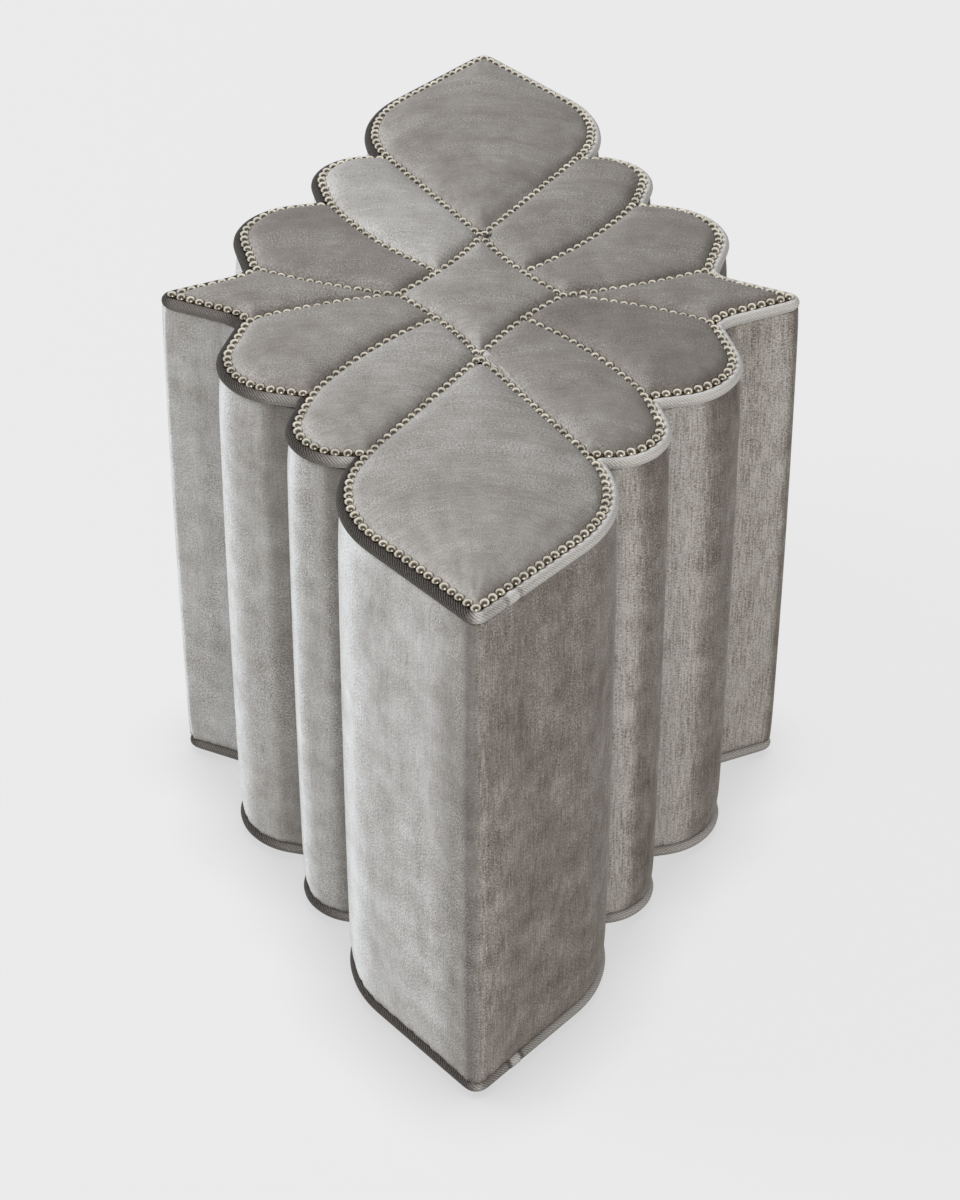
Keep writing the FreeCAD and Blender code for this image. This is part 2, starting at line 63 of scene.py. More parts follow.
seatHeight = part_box("diamond_pad")[0][2] / mm      # top of the top board, where the pads start
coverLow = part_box("front_petal_cover")[0][2] / mm
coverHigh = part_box("front_petal_cover")[1][2] / mm
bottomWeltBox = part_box("bottom_welt")
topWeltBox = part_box("top_welt")


# Plan: the seam line that the nails follow, in mm. X to the right, Y to the back.
# Only the back right quarter is given. The rest is its mirror image.
plan = {
    "step": 0.5,                     # spacing of the points that a line is worked out on
    "tip": (247.3, 425.3),           # middle to the side points, and to the front and back points
    "tipRadius": 2.5,
    "shoulder": (114.2, 288.1),      # corner that the petal's shoulder rounds off
    "shoulderRadius": 94.5,
    "narrow": {"root": (126.2, 151.0), "side": 80.0, "lean": 76.3, "radius": 38.2, "endY": 231.9,
               "seamEnd": (30.0, 33.0), "seamRadius": 340.0},
    "wide": {"root": (180.9, 41.0), "side": 93.7, "lean": 75.2, "radius": 50.0, "endY": 178.9,
             "seamEnd": (64.0, 0.5), "seamRadius": 400.0},
    "flare": (190.5, 27.2),          # hollow corner on each edge of a side petal
    "flareRadius": 44.0,
    "flareAngle": 128.2,
    "flareTuck": 30.0,
    "diamond": (66.0, 95.0),
    "diamondRadius": 290.0,
    "axisTuck": 6.0,                 # mm that a leaf runs on past the axes, under the others
    "seamSlack": 0.2,                # mm that a seam may run on under the leaf or diamond over it
    "axisSlack": 0.01,
    "coarse": 4,                     # distances are taken to every so many points of a line
}


def arcPoints(first, last, centre):
    # points on the shorter arc from first to last: the angle runs evenly from one to the other
    a, b = np.asarray(first) - centre, np.asarray(last) - centre
    start = math.atan2(a[1], a[0])
    turn = (math.atan2(b[1], b[0]) - start + math.pi) % (2 * math.pi) - math.pi
    radius = np.hypot(*a)
    angle = start + turn * np.linspace(0, 1, max(3, int(abs(turn) * radius / plan["step"]) + 1))
    return centre + radius * np.column_stack((np.cos(angle), np.sin(angle)))


def outline(corners):
    # closed line through corners (x, y, rounding radius, radius of the bowed edge that follows),
    # which run clockwise; a bowed edge bulges outwards, or inwards where its radius is negative
    spots = [np.array(corner[:2], float) for corner in corners]
    count = len(corners)
    arrive, leave, parts = [], [], []
    for i, corner in enumerate(corners):
        here = spots[i]
        toBack = spots[i - 1] - here
        toNext = spots[(i + 1) % count] - here
        toBack, toNext = toBack / np.hypot(*toBack), toNext / np.hypot(*toNext)
        if corner[2]:
            half = math.acos(np.clip(toBack @ toNext, -1, 1)) / 2
            reach = corner[2] / math.tan(half)
            bisector = (toBack + toNext) / np.hypot(*(toBack + toNext))
            centre = here + bisector * corner[2] / math.sin(half)
            arrive.append(here + toBack * reach)
            leave.append(here + toNext * reach)
            parts.append([arcPoints(arrive[-1], leave[-1], centre)])
        else:
            arrive.append(here)
            leave.append(here)
            parts.append([])
    for i, corner in enumerate(corners):
        a, b = leave[i], arrive[(i + 1) % count]
        if corner[3]:
            half = (b - a) / 2
            left = np.array((-half[1], half[0])) / np.hypot(*half)
            centre = a + half - left * math.copysign(math.sqrt(corner[3] ** 2 - half @ half), corner[3])
            parts[i].append(arcPoints(a, b, centre))
        else:
            parts[i].append(np.array((a, b)))
    line = np.vstack([piece for part in parts for piece in part])
    return resampled(line[::-1], closed=True)


def lengthAlong(line):
    # length of a line from its start to each of its points
    return np.concatenate(([0], np.cumsum(np.hypot(*np.diff(line, axis=0).T[:2]))))


def resampled(line, step=None, closed=False):
    # the same line with evenly spaced points: each coordinate is read off against the length so far
    if closed:
        line = np.vstack((line, line[:1]))
    gaps = np.hypot(*np.diff(line, axis=0).T[:2])
    line = line[np.concatenate(([True], gaps > tiny))]
    length = lengthAlong(line)
    count = max(2, int(round(length[-1] / (step or plan["step"]))) + (0 if closed else 1))
    spots = np.linspace(0, length[-1], count + 1)[:-1] if closed else np.linspace(0, length[-1], count)
    return np.column_stack([np.interp(spots, length, line[:, k]) for k in range(line.shape[1])])


def outwardNormals(line, closed=True):
    # unit normals on the right of the direction of travel, which is outside on a counter-clockwise line
    if closed:
        along = np.roll(line, -1, axis=0) - np.roll(line, 1, axis=0)
    else:
        along = np.gradient(line, axis=0)
    along = along / np.maximum(np.hypot(*along.T), tiny)[:, None]
    return np.column_stack((along[:, 1], -along[:, 0]))


def signedDistance(points, loop):
    # distance to the nearest stretch of a closed line, negative inside it (a ray crosses it an odd number of times)
    loop = loop[::plan["coarse"]]
    a, b = loop, np.roll(loop, -1, axis=0)
    ab = b - a
    ap = points[:, None, :] - a[None]
    share = np.clip((ap * ab).sum(2) / np.maximum((ab * ab).sum(1), tiny), 0, 1)
    near = np.sqrt((((ap - share[..., None] * ab) ** 2).sum(2)).min(1))
    above = (a[None, :, 1] > points[:, 1:2]) != (b[None, :, 1] > points[:, 1:2])
    rise = np.where(ab[:, 1] == 0, tiny, ab[:, 1])
    crossX = a[None, :, 0] + (points[:, 1:2] - a[None, :, 1]) * ab[None, :, 0] / rise
    inside = (above & (points[:, :1] < crossX)).sum(1) % 2 == 1
    return np.where(inside, -near, near)


def mirror(loop, sx, sy):
    # mirror image, turned round where needed so that it still runs counter-clockwise
    image = loop * np.array((sx, sy))
    return image[::-1] if sx * sy < 0 else image


def lobeCorners(lobe):
    # a lobe's outer corner lies a side's length from its root, at the angle that it leans by
    lean = math.radians(lobe["lean"])
    tip = (lobe["root"][0] + lobe["side"] * math.cos(lean), lobe["root"][1] + lobe["side"] * math.sin(lean))
    tuck = plan["axisTuck"]
    return [(-tuck, lobe["endY"], 0, 0), (*tip, lobe["radius"], 0), (*lobe["root"], 0, lobe["seamRadius"]),
            (*lobe["seamEnd"], 0, 0), (-tuck, -tuck, 0, 0)]


def planLoops():
    # closed seam lines of the twelve leaves, each as if nothing lay over it, and the diamond's edge
    (tipX, tipY), (shoulderX, shoulderY) = plan["tip"], plan["shoulder"]
    (flareX, flareY), (diamondX, diamondY) = plan["flare"], plan["diamond"]
    radius, hollow = plan["tipRadius"], plan["diamondRadius"]
    tuckX = flareX + plan["flareTuck"] * math.cos(math.radians(plan["flareAngle"]))
    tuckY = flareY + plan["flareTuck"] * math.sin(math.radians(plan["flareAngle"]))
    petal = outline([(0, tipY, radius, 0), (shoulderX, shoulderY, plan["shoulderRadius"], 0),
                     (0, diamondY, 0, 0), (-shoulderX, shoulderY, plan["shoulderRadius"], 0)])
    side = outline([(tipX, 0, radius, 0), (flareX, -flareY, plan["flareRadius"], 0), (tuckX, -tuckY, 0, 0),
                    (-plan["axisTuck"], 0, 0, 0), (tuckX, tuckY, 0, 0), (flareX, flareY, plan["flareRadius"], 0)])
    diamond = outline([(0, diamondY, 0, -hollow), (diamondX, 0, 0, -hollow), (0, -diamondY, 0, -hollow),
                       (-diamondX, 0, 0, -hollow)])
    narrow, wide = outline(lobeCorners(plan["narrow"])), outline(lobeCorners(plan["wide"]))
    loops = {"back_petal": petal, "front_petal": mirror(petal, 1, -1),
             "right_petal": side, "left_petal": mirror(side, -1, 1)}
    for name, loop in (("narrow", narrow), ("wide", wide)):
        for place, (sx, sy) in quarters.items():
            loops[f"{name}_{place}"] = mirror(loop, sx, sy)
    return loops, diamond


quarters = {"back_right": (1, 1), "back_left": (-1, 1), "front_left": (-1, -1), "front_right": (1, -1)}
loops, diamondLoop = planLoops()
aroundRim = ["right_petal", "wide_back_right", "narrow_back_right", "back_petal", "narrow_back_left",
             "wide_back_left", "left_petal", "wide_front_left", "narrow_front_left", "front_petal",
             "narrow_front_right", "wide_front_right"]


def shownRun(loop, keep, tuck=0):
    # the one stretch of a loop whose points are kept, with some more points past both ends
    count = len(loop)
    starts = np.flatnonzero(keep & ~np.roll(keep, 1))
    stops = np.array([np.flatnonzero(~np.roll(keep, -start))[0] for start in starts])
    best = int(np.argmax(stops))
    extra = int(tuck / plan["step"])
    return np.arange(starts[best] - extra, starts[best] + stops[best] + extra) % count


drawnLeaf = {"petal": "back_petal", "narrow": "narrow_back_right", "wide": "wide_back_right", "side": "right_petal"}


def rimRuns(grow, tuck=0):
    # every leaf's part of the outer edge, moved out by grow: where it lies outside each other leaf
    # moved out as much
    runs = {}
    for kind, name in drawnLeaf.items():
        moved = loops[name] + outwardNormals(loops[name]) * grow
        clear = np.min([signedDistance(moved, loop) for other, loop in loops.items() if other != name], axis=0)
        run = moved[shownRun(moved, clear > grow, tuck)]
        runs[name] = run
        if kind in ("narrow", "wide"):
            for place, (sx, sy) in quarters.items():
                runs[f"{kind}_{place}"] = mirror(run, sx, sy)
    runs["front_petal"] = mirror(runs["back_petal"], 1, -1)
    runs["left_petal"] = mirror(runs["right_petal"], -1, 1)
    return runs


def rimLine(grow, step):
    # the whole outer edge, moved out by grow
    runs = rimRuns(grow)
    return resampled(np.vstack([runs[leaf] for leaf in aroundRim]), step=step, closed=True)


def seamRun(over, under, clearOf):
    # the part of a leaf's edge that lies over the leaf under it
    loop = loops[over]
    keep = signedDistance(loop, loops[under]) < 0
    for other in clearOf:
        keep &= signedDistance(loop, other) > -plan["seamSlack"]
    return loop[shownRun(loop, keep)]


def endingBy(curve, other):
    # the curve, turned round where its start is nearer to the other one than its end is
    first, last = [np.hypot(*(other[[0, -1]] - curve[k]).T).min() for k in (0, -1)]
    return curve[::-1] if first < last else curve


def startingBy(point, curve):
    # the curve, turned round where its last point is nearer to the given one
    first, last = np.hypot(*(curve[[0, -1]] - point).T)
    return curve[::-1] if first > last else curve


def chained(first, second):
    # two curves joined end to end
    line = endingBy(first, second)
    return np.vstack((line, startingBy(line[-1], second)))


def quarterLines():
    # the lines of the back right quarter: rim runs, seams, and the diamond's edge cut where the seams meet it
    lines = {kind + "Rim": nailRuns[name] for kind, name in drawnLeaf.items()}
    petal, narrow = loops["back_petal"], loops["narrow_back_right"]
    lines["petalSeam"] = seamRun("back_petal", "narrow_back_right", [diamondLoop])
    lines["narrowSeam"] = seamRun("narrow_back_right", "wide_back_right", [diamondLoop, petal])
    lines["wideSeam"] = seamRun("wide_back_right", "right_petal", [diamondLoop, narrow, petal])
    edge = diamondLoop[(diamondLoop >= -plan["axisSlack"]).all(1)]
    edge = edge[np.argsort(edge[:, 1])]
    ends = lines["narrowSeam"][[0, -1]]
    meet = int(np.argmin(np.hypot(*(edge[:, None] - ends[None]).transpose(2, 0, 1)).min(1)))
    lines["diamondLow"], lines["diamondHigh"] = edge[:meet + 1], edge[meet:]
    return lines


nailInset = 1.2      # mm from the seam line in to the nails round the rim
nailRuns = rimRuns(-nailInset)
lines = quarterLines()
print("plan worked out")


# Meshes

def gridFaces(rows, columns, closeRows=False, closeColumns=False):
    # quads of a grid of points, row by row
    r = np.arange(rows if closeRows else rows - 1)[:, None]
    c = np.arange(columns if closeColumns else columns - 1)[None]
    r2, c2 = (r + 1) % rows, (c + 1) % columns
    corners = (r * columns + c, r * columns + c2, r2 * columns + c2, r2 * columns + c)
    return np.stack(corners, axis=-1).reshape(-1, 4)


def addPiece(name, points, faces, material, attributes=None, uv=None):
    # points in mm to a mesh in metres, smooth, with its values at points and its pattern coordinates
    mesh = bpy.data.meshes.new(name)
    mesh.from_pydata(np.asarray(points) * mm, [], [list(map(int, face)) for face in faces])
    for key, values in (attributes or {}).items():
        mesh.attributes.new(key, "FLOAT", "POINT").data.foreach_set("value", np.asarray(values, np.float32))
    if uv is not None:
        corner = np.empty(len(mesh.loops), np.int32)
        mesh.loops.foreach_get("vertex_index", corner)
        mesh.uv_layers.new(name="lay").data.foreach_set("uv", np.asarray(uv, np.float32)[corner].ravel())
    mesh.polygons.foreach_set("use_smooth", np.ones(len(mesh.polygons), bool))
    mesh.materials.append(material)
    mesh.update()
    piece = bpy.data.objects.new(name, mesh)
    scene.collection.objects.link(piece)
    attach(piece, "root")
    return piece


def smoothStep(x, low, high):
    # 0 below low and 1 above high, with 3 t squared less 2 t cubed between them
    t = np.clip((x - low) / (high - low), 0, 1)
    return t * t * (3 - 2 * t)


# Materials

def linear(hexColour):
    # sRGB hex to linear light
    parts = [int(hexColour[i:i + 2], 16) / 255 for i in (1, 3, 5)]
    return (*[p / 12.92 if p <= 0.04045 else ((p + 0.055) / 1.055) ** 2.4 for p in parts], 1)


def addNode(tree, kind, settings=None, links=None):
    # a node with its settings, by the name or number of an input or by property, and with its links
    made = tree.nodes.new("ShaderNode" + kind)
    for key, setting in (settings or {}).items():
        if isinstance(key, int) or key in made.inputs:
            made.inputs[key].default_value = setting
        else:
            setattr(made, key, setting)
    for key, source in (links or {}).items():
        tree.links.new(source, made.inputs[key])
    return made


def newMaterial(name):
    material = bpy.data.materials.new(name)
    material.use_nodes = True
    tree = material.node_tree
    tree.nodes.clear()
    return material, tree


def setRamp(made, stops):
    # stops in rising order; a new ramp has two, of which the first is kept
    ramp = made.color_ramp
    ramp.elements.remove(ramp.elements[1])
    for i, (place, colour) in enumerate(stops):
        stop = ramp.elements[0] if i == 0 else ramp.elements.new(place)
        stop.position, stop.color = place, linear(colour)
    return made


velvet = {
    "patch": 70.0,           # mm, size of the areas where the pile leans one way
    "cloud": 24.0,           # mm, smaller ragged mottling inside them
    "band": (30.0, 260.0),   # mm, width and length of the ragged bands where the pile is crushed
    "streak": (1.4, 26.0),   # mm, width and length of the fine lines of the weave
    "weft": (2.8, 1.3),      # mm, length and width of the short crossing threads
    "fleck": 1.5,            # mm, crushed flecks
    "fibre": 1.3,            # mm, pile tufts; finer in the real cloth, drawn as coarse as it shows
    "detail": {"patch": 3.0, "cloud": 8.0, "band": 7.0, "streak": 3.0, "weft": 3.0, "fleck": 3.0, "fibre": 2.0},
    "uneven": 0.66,          # roughness of these noises
    "crushed": (0.46, 0.56),     # level of the bands where crushing starts, and where it is full
    "sparse": 0.3,           # share of the flecks outside them
    "tuft": 0.4,             # share of the tufts that shows where no weave does
    "ragged": (0.65, 1.5),   # rake from which the mottling grows, and what it grows to
    "bump": 0.3,
    "sheen": 0.25,
    # from dark to pale as the pile's lean and the painted light and shade in the attribute run, warmer where the
    # weave is raked
    "cool": {0.0: "#5b5753", 0.38: "#908d89", 0.5: "#a09f9b", 0.62: "#b1b1af", 1.0: "#dfe2e2"},
    "warm": {0.0: "#5d554d", 0.38: "#928b84", 0.5: "#a19b94", 0.62: "#b3aea8", 1.0: "#dddad5"},
}


def addSwing(tree, tone, noise, share, mask=None):
    # the tone plus a noise that swings it up and down by half a share, as far as the mask lets it
    swing = addNode(tree, "Math", {"operation": "MULTIPLY_ADD", 1: share, 2: -0.5 * share},
                    {0: noise}).outputs[0]
    if mask is not None:
        swing = addNode(tree, "Math", {"operation": "MULTIPLY"}, {0: swing, 1: mask}).outputs[0]
    return addNode(tree, "Math", {"operation": "ADD"}, {0: tone, 1: swing}).outputs[0]


pile = {
    "roughness": 0.8,
    "specular": 0.15,
    "sheenRoughness": 0.35,
    "sheenTint": "#e8e6e2",
    "bumpDepth": 0.5,        # mm
}


def finishPile(tree, colour, height, bump, sheen):
    # matt pile with a soft shine at a slant
    normal = addNode(tree, "Bump", {"Strength": bump, "Distance": pile["bumpDepth"] * mm},
                     {"Height": height}).outputs[0]
    shader = addNode(tree, "BsdfPrincipled",
                     {"Roughness": pile["roughness"], "Specular IOR Level": pile["specular"], "Sheen Weight": sheen,
                      "Sheen Roughness": pile["sheenRoughness"], "Sheen Tint": linear(pile["sheenTint"])},
                     {"Base Color": colour, "Normal": normal})
    addNode(tree, "OutputMaterial", {}, {"Surface": shader.outputs[0]})


def velvetMaterial(name, shares):
    # cut velvet, woven and crushed: lighter or darker by the pile's lean and the painted light and shade that its
    # attribute carries, with ragged crushed bands
    material, tree = newMaterial(name)
    lay = addNode(tree, "UVMap", {"uv_map": "lay"}).outputs[0]
    # the pile's lean together with painted light and shade, as each piece carries it
    napAndPaintedLight = addNode(tree, "Attribute", {"attribute_name": "napAndPaintedLight"}).outputs["Fac"]
    rake = addNode(tree, "Attribute", {"attribute_name": "rake"}).outputs["Fac"]
    noises = {}
    for key, detail in velvet["detail"].items():
        wide, long = velvet[key] if isinstance(velvet[key], tuple) else (velvet[key], velvet[key])
        scaled = addNode(tree, "Mapping", {"Scale": (1 / wide / mm, 1 / long / mm, 1)},
                         {"Vector": lay}).outputs[0]
        noises[key] = addNode(tree, "TexNoise",
                              {"Scale": 1.0, "Detail": detail, "Roughness": velvet["uneven"]},
                              {"Vector": scaled}).outputs[0]
    # flecks gather in the crushed bands, the weave shows where the light rakes pale pile, and raked sides are more
    # mottled
    low, high = velvet["crushed"]
    gather = addNode(tree, "MapRange", {"From Min": low, "From Max": high, "To Min": velvet["sparse"]},
                     {"Value": noises["band"]}).outputs[0]
    noises["crush"] = gather
    weave = addNode(tree, "Math", {"operation": "MULTIPLY"}, {0: rake, 1: napAndPaintedLight}).outputs[0]
    tufts = addNode(tree, "Math", {"operation": "ADD", 1: velvet["tuft"]}, {0: weave}).outputs[0]
    start, most = velvet["ragged"]
    ragged = addNode(tree, "MapRange", {"From Min": start, "To Min": 1.0, "To Max": most},
                     {"Value": rake}).outputs[0]
    masks = {"streak": weave, "weft": weave, "fleck": gather, "fibre": tufts, "cloud": ragged, "band": ragged}
    tone = napAndPaintedLight
    for key, share in shares.items():
        tone = addSwing(tree, tone, noises[key], share, masks.get(key))
    cool, warm = [setRamp(addNode(tree, "ValToRGB", {}, {"Fac": tone}), velvet[key].items()).outputs[0]
                  for key in ("cool", "warm")]
    colour = addNode(tree, "Mix", {"data_type": "RGBA"}, {0: rake, 6: cool, 7: warm}).outputs[2]
    finishPile(tree, colour, noises["fibre"], velvet["bump"], velvet["sheen"])
    return material


rib = {
    "pitch": 1.9,      # mm between the slanting ribs of the welt
    "wave": 0.444,     # pitch of a slanting wave texture at scale 1
    "grain": 1.4,      # mm
    "ribShare": 0.26,
    "grainShare": 0.50,
    "colours": {0.0: "#2d2a27", 0.45: "#85807b", 1.0: "#f0eeea"},
    "bump": 0.5,
    "sheen": 0.15,
}


def weltMaterial():
    # the same velvet cut on the bias round a cord: fine slanting ribs, and painted light and shade by the way it
    # turns
    material, tree = newMaterial("velvet welt, cut on the bias")
    lay = addNode(tree, "UVMap", {"uv_map": "lay"}).outputs[0]
    napAndPaintedLight = addNode(tree, "Attribute", {"attribute_name": "napAndPaintedLight"}).outputs["Fac"]
    ribs = addNode(tree, "TexWave",
                   {"Scale": rib["wave"] / rib["pitch"] / mm, "Distortion": 0.8, "Detail": 1.0,
                    "bands_direction": "DIAGONAL"}, {"Vector": lay}).outputs[1]
    grain = addNode(tree, "TexNoise", {"Scale": 1 / rib["grain"] / mm, "Detail": 3.0},
                    {"Vector": lay}).outputs[0]
    tone = addSwing(tree, addSwing(tree, napAndPaintedLight, ribs, rib["ribShare"]), grain, rib["grainShare"])
    colour = setRamp(addNode(tree, "ValToRGB", {}, {"Fac": tone}), rib["colours"].items()).outputs[0]
    finishPile(tree, colour, ribs, rib["bump"], rib["sheen"])
    return material


plate = {
    "tarnish": 14.0,     # mm, size of the faint patches
    "colours": {0.3: "#999387", 0.7: "#c0baad"},
    "roughness": (0.16, 0.32),
}


def nickelMaterial():
    # nickel plate on pressed steel: bright highlights, a warm grey body, faint tarnish
    material, tree = newMaterial("nickel plate, pressed")
    place = addNode(tree, "TexCoord").outputs["Object"]
    tarnish = addNode(tree, "TexNoise", {"Scale": 1 / plate["tarnish"] / mm, "Detail": 3.0},
                      {"Vector": place}).outputs[0]
    colour = setRamp(addNode(tree, "ValToRGB", {}, {"Fac": tarnish}), plate["colours"].items()).outputs[0]
    low, high = plate["roughness"]
    rough = addNode(tree, "MapRange", {"To Min": low, "To Max": high}, {"Value": tarnish}).outputs[0]
    shader = addNode(tree, "BsdfPrincipled", {"Metallic": 1.0}, {"Base Color": colour, "Roughness": rough})
    addNode(tree, "OutputMaterial", {}, {"Surface": shader.outputs[0]})
    return material


sideVelvet = velvetMaterial("cut velvet, crushed", {"patch": 0.30, "cloud": 0.55, "band": 0.55, "crush": -0.12,
                                                    "streak": 2.0, "weft": 2.2, "fleck": 1.4, "fibre": 1.1})
topVelvet = velvetMaterial("cut velvet, brushed", {"patch": 0.36, "cloud": 0.40, "crush": 0.06, "streak": 1.1,
                                                   "weft": 0.60, "fleck": 1.2, "fibre": 0.75})
weltVelvet = weltMaterial()
nickel = nickelMaterial()


# Settling of the padded pieces

settleSet = {"frames": 20, "quality": 5, "mass": 0.3, "stiff": 12.0, "bend": 3.0}
padded = []      # (piece, numbers of the held points, pressure, cap on the movement in mm)


def settle():
    # cloth under a little pressure, held where it is nailed or sewn; each point moves no further than its cap
    for piece, held, pressure, _ in padded:
        piece.vertex_groups.new(name="held").add([int(i) for i in held], 1.0, "REPLACE")
        cloth = piece.modifiers.new("cloth", "CLOTH")
        cloth.settings.vertex_group_mass = "held"
        cloth.settings.mass = settleSet["mass"]
        cloth.settings.quality = settleSet["quality"]
        cloth.settings.tension_stiffness = cloth.settings.compression_stiffness = settleSet["stiff"]
        cloth.settings.bending_stiffness = settleSet["bend"]
        cloth.settings.use_pressure = True
        cloth.settings.uniform_pressure_force = pressure
        cloth.settings.effector_weights.gravity = 0
        cloth.collision_settings.use_collision = False
        cloth.point_cache.frame_start, cloth.point_cache.frame_end = 1, settleSet["frames"]
    for number in range(1, settleSet["frames"] + 1):
        scene.frame_set(number)
    graph = bpy.context.evaluated_depsgraph_get()
    for piece, _, _, cap in padded:
        start = np.empty(len(piece.data.vertices) * 3, np.float32)
        ended = start.copy()
        piece.data.vertices.foreach_get("co", start)
        piece.evaluated_get(graph).data.vertices.foreach_get("co", ended)
        move = (ended - start).reshape(-1, 3)
        far = np.linalg.norm(move, axis=1, keepdims=True)
        move *= np.minimum(1, cap * mm / np.maximum(far, tiny))
        print(piece.name, "settled by up to", round(float(far.max()) / mm, 1), "mm")
        piece.modifiers.clear()
        piece.vertex_groups.clear()
        piece.data.vertices.foreach_set("co", (start.reshape(-1, 3) + move).ravel())
        piece.data.update()
    scene.frame_set(1)


# Top pads

puff = {
    "groove": 2.8,       # mm that the pad lies flat under the nail heads
    "heldPast": 1.5,     # mm beyond it that the nails still hold
    "nearest": 0.5,      # mm, the least distance to the edge that counts
    "edgeRise": 5.6,     # mm that the steep edge beside the nails rises
    "edgeRun": 3.4,      # mm over which it does
    "crownRise": 3.4,    # mm more in the middle
    "crownRun": 28.0,
    "foot": 0.5,         # mm, velvet thickness at the nails
    "steps": 56,         # grid lines each way
    "crowd": 0.72,       # how much closer the lines stand near the edges
    "pressure": 4.0,
    "cap": 3.5,          # mm
    "brush": 190.0,      # mm from a pad's middle to the middle of its brush arcs
    "layShift": 7,       # the pattern shifts this much faster than the pads' middles, so that no two are alike
    "rake": 0.65,
    "rimHighlight": 0.2,       # painted highlight beside a left-hand edge
    "rimReach": 7.0,
}


def crowded(count):
    # shares from 0 to 1 that stand closer at both ends
    t = np.linspace(0, 1, count)
    return t - puff["crowd"] * np.sin(2 * np.pi * t) / (2 * np.pi)


def patchPoints(sides):
    # points inside four joined sides: the two blends of opposite sides added, less the blend of the corners
    share = crowded(puff["steps"])
    a, b, c, d = [at(resampled(side), share) for side in sides]
    c, d = c[::-1], d[::-1]
    u, v = share[:, None, None], share[None, :, None]
    return ((1 - v) * a[:, None] + v * c[:, None] + (1 - u) * d[None] + u * b[None]
            - (1 - u) * (1 - v) * a[0] - u * (1 - v) * a[-1] - u * v * c[-1] - (1 - u) * v * c[0])


def at(line, share):
    # points of an evenly spaced line at given shares of its length
    place = np.linspace(0, 1, len(line))
    return np.column_stack([np.interp(share, place, line[:, k]) for k in (0, 1)])


def joined(curves):
    # four sides in order round a pad, each turned to start where the last one stopped; counter-clockwise
    sides = [endingBy(curves[0], curves[1])]
    for curve in curves[1:]:
        stop = sides[-1][-1]
        sides.append(np.vstack((stop, startingBy(stop, curve))))
    sides[-1] = np.vstack((sides[-1][:-1], sides[0][:1]))
    x, y = np.vstack(sides).T
    if (x * np.roll(y, -1) - y * np.roll(x, -1)).sum() < 0:
        sides = [side[::-1] for side in sides[::-1]]
    return sides


def puffPiece(name, curves):
    # closed pad: each point rises with its distance d from the nails' groove, by edgeRise * (1 - exp(-d / edgeRun))
    # for the steep edge and crownRise * (1 - exp(-d / crownRun)) for the crown; walls at the nails and a flat
    # underside close it. The distance is the root of 2 over the sum of the inverse cubes of the distances to points
    # 1 mm apart on the edge, which is the true one beside a long edge and leaves no ridge in the corners.
    napAndPaintedLight = padNap[name]
    grid = patchPoints(joined(curves))
    count = puff["steps"]
    xy = grid.reshape(-1, 2)
    number = np.arange(count * count).reshape(count, count)
    ring = np.concatenate((number[:-1, 0], number[-1, :-1], number[:0:-1, -1], number[0, :0:-1]))
    edge = resampled(xy[ring], step=1.0, closed=True)
    gaps = np.maximum(np.hypot(*(xy[:, None] - edge[None]).transpose(2, 0, 1)), puff["nearest"])
    depth = np.sqrt(2 / (gaps ** -3.0).sum(1))
    depth[ring] = 0
    inside = np.maximum(depth - puff["groove"], 0)
    crown = (puff["edgeRise"] * (1 - np.exp(-inside / puff["edgeRun"]))
             + puff["crownRise"] * (1 - np.exp(-inside / puff["crownRun"])))
    points = np.vstack((np.column_stack((xy, seatHeight + puff["foot"] + crown)),
                        np.column_stack((xy[ring], np.full(len(ring), seatHeight)))))
    wall = len(xy) + np.arange(len(ring))
    faces = [*gridFaces(count, count)[:, ::-1],
             *np.column_stack((ring, wall, np.roll(wall, -1), np.roll(ring, -1))), wall[::-1]]
    middle = xy.mean(0)
    far = points[:, :2] - middle + (0, puff["brush"])
    lay = np.column_stack((np.hypot(*far.T), np.arctan2(far[:, 0], far[:, 1]) * puff["brush"])) * mm
    lay += middle * puff["layShift"] * mm
    # the way from the nearest point of the edge; it leads to the right beside a left-hand edge
    nearest = xy - xy[ring][np.argmin(((xy[:, None] - xy[ring][None, ::2]) ** 2).sum(2), axis=1) * 2]
    rightward = nearest[:, 0] / np.maximum(np.hypot(*nearest.T), tiny)
    # painted highlight along each pad's left-hand edges
    tone = napAndPaintedLight + puff["rimHighlight"] * np.exp(-depth / puff["rimReach"]) * np.clip(rightward, 0, 1)
    tone = np.concatenate((tone, np.full(len(ring), napAndPaintedLight)))
    rake = np.full(len(points), puff["rake"])
    piece = addPiece(f"{name}_puff", points, faces, topVelvet, {"napAndPaintedLight": tone, "rake": rake}, lay)
    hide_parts(name)
    held = np.concatenate((np.flatnonzero(depth < puff["groove"] + puff["heldPast"]), wall))
    padded.append((piece, held, puff["pressure"], puff["cap"]))


# each panel is cut with the pile lying its own way, so that some read lighter than others
padNap = {
    "diamond_pad": 0.49,
    "front_petal_pad": 0.53, "back_petal_pad": 0.42, "left_petal_pad": 0.44, "right_petal_pad": 0.39,
    "narrow_lobe_pad_front_left": 0.55, "narrow_lobe_pad_front_right": 0.39,
    "narrow_lobe_pad_back_left": 0.65, "narrow_lobe_pad_back_right": 0.40,
    "wide_lobe_pad_front_left": 0.47, "wide_lobe_pad_front_right": 0.29,
    "wide_lobe_pad_back_left": 0.34, "wide_lobe_pad_back_right": 0.39,
}


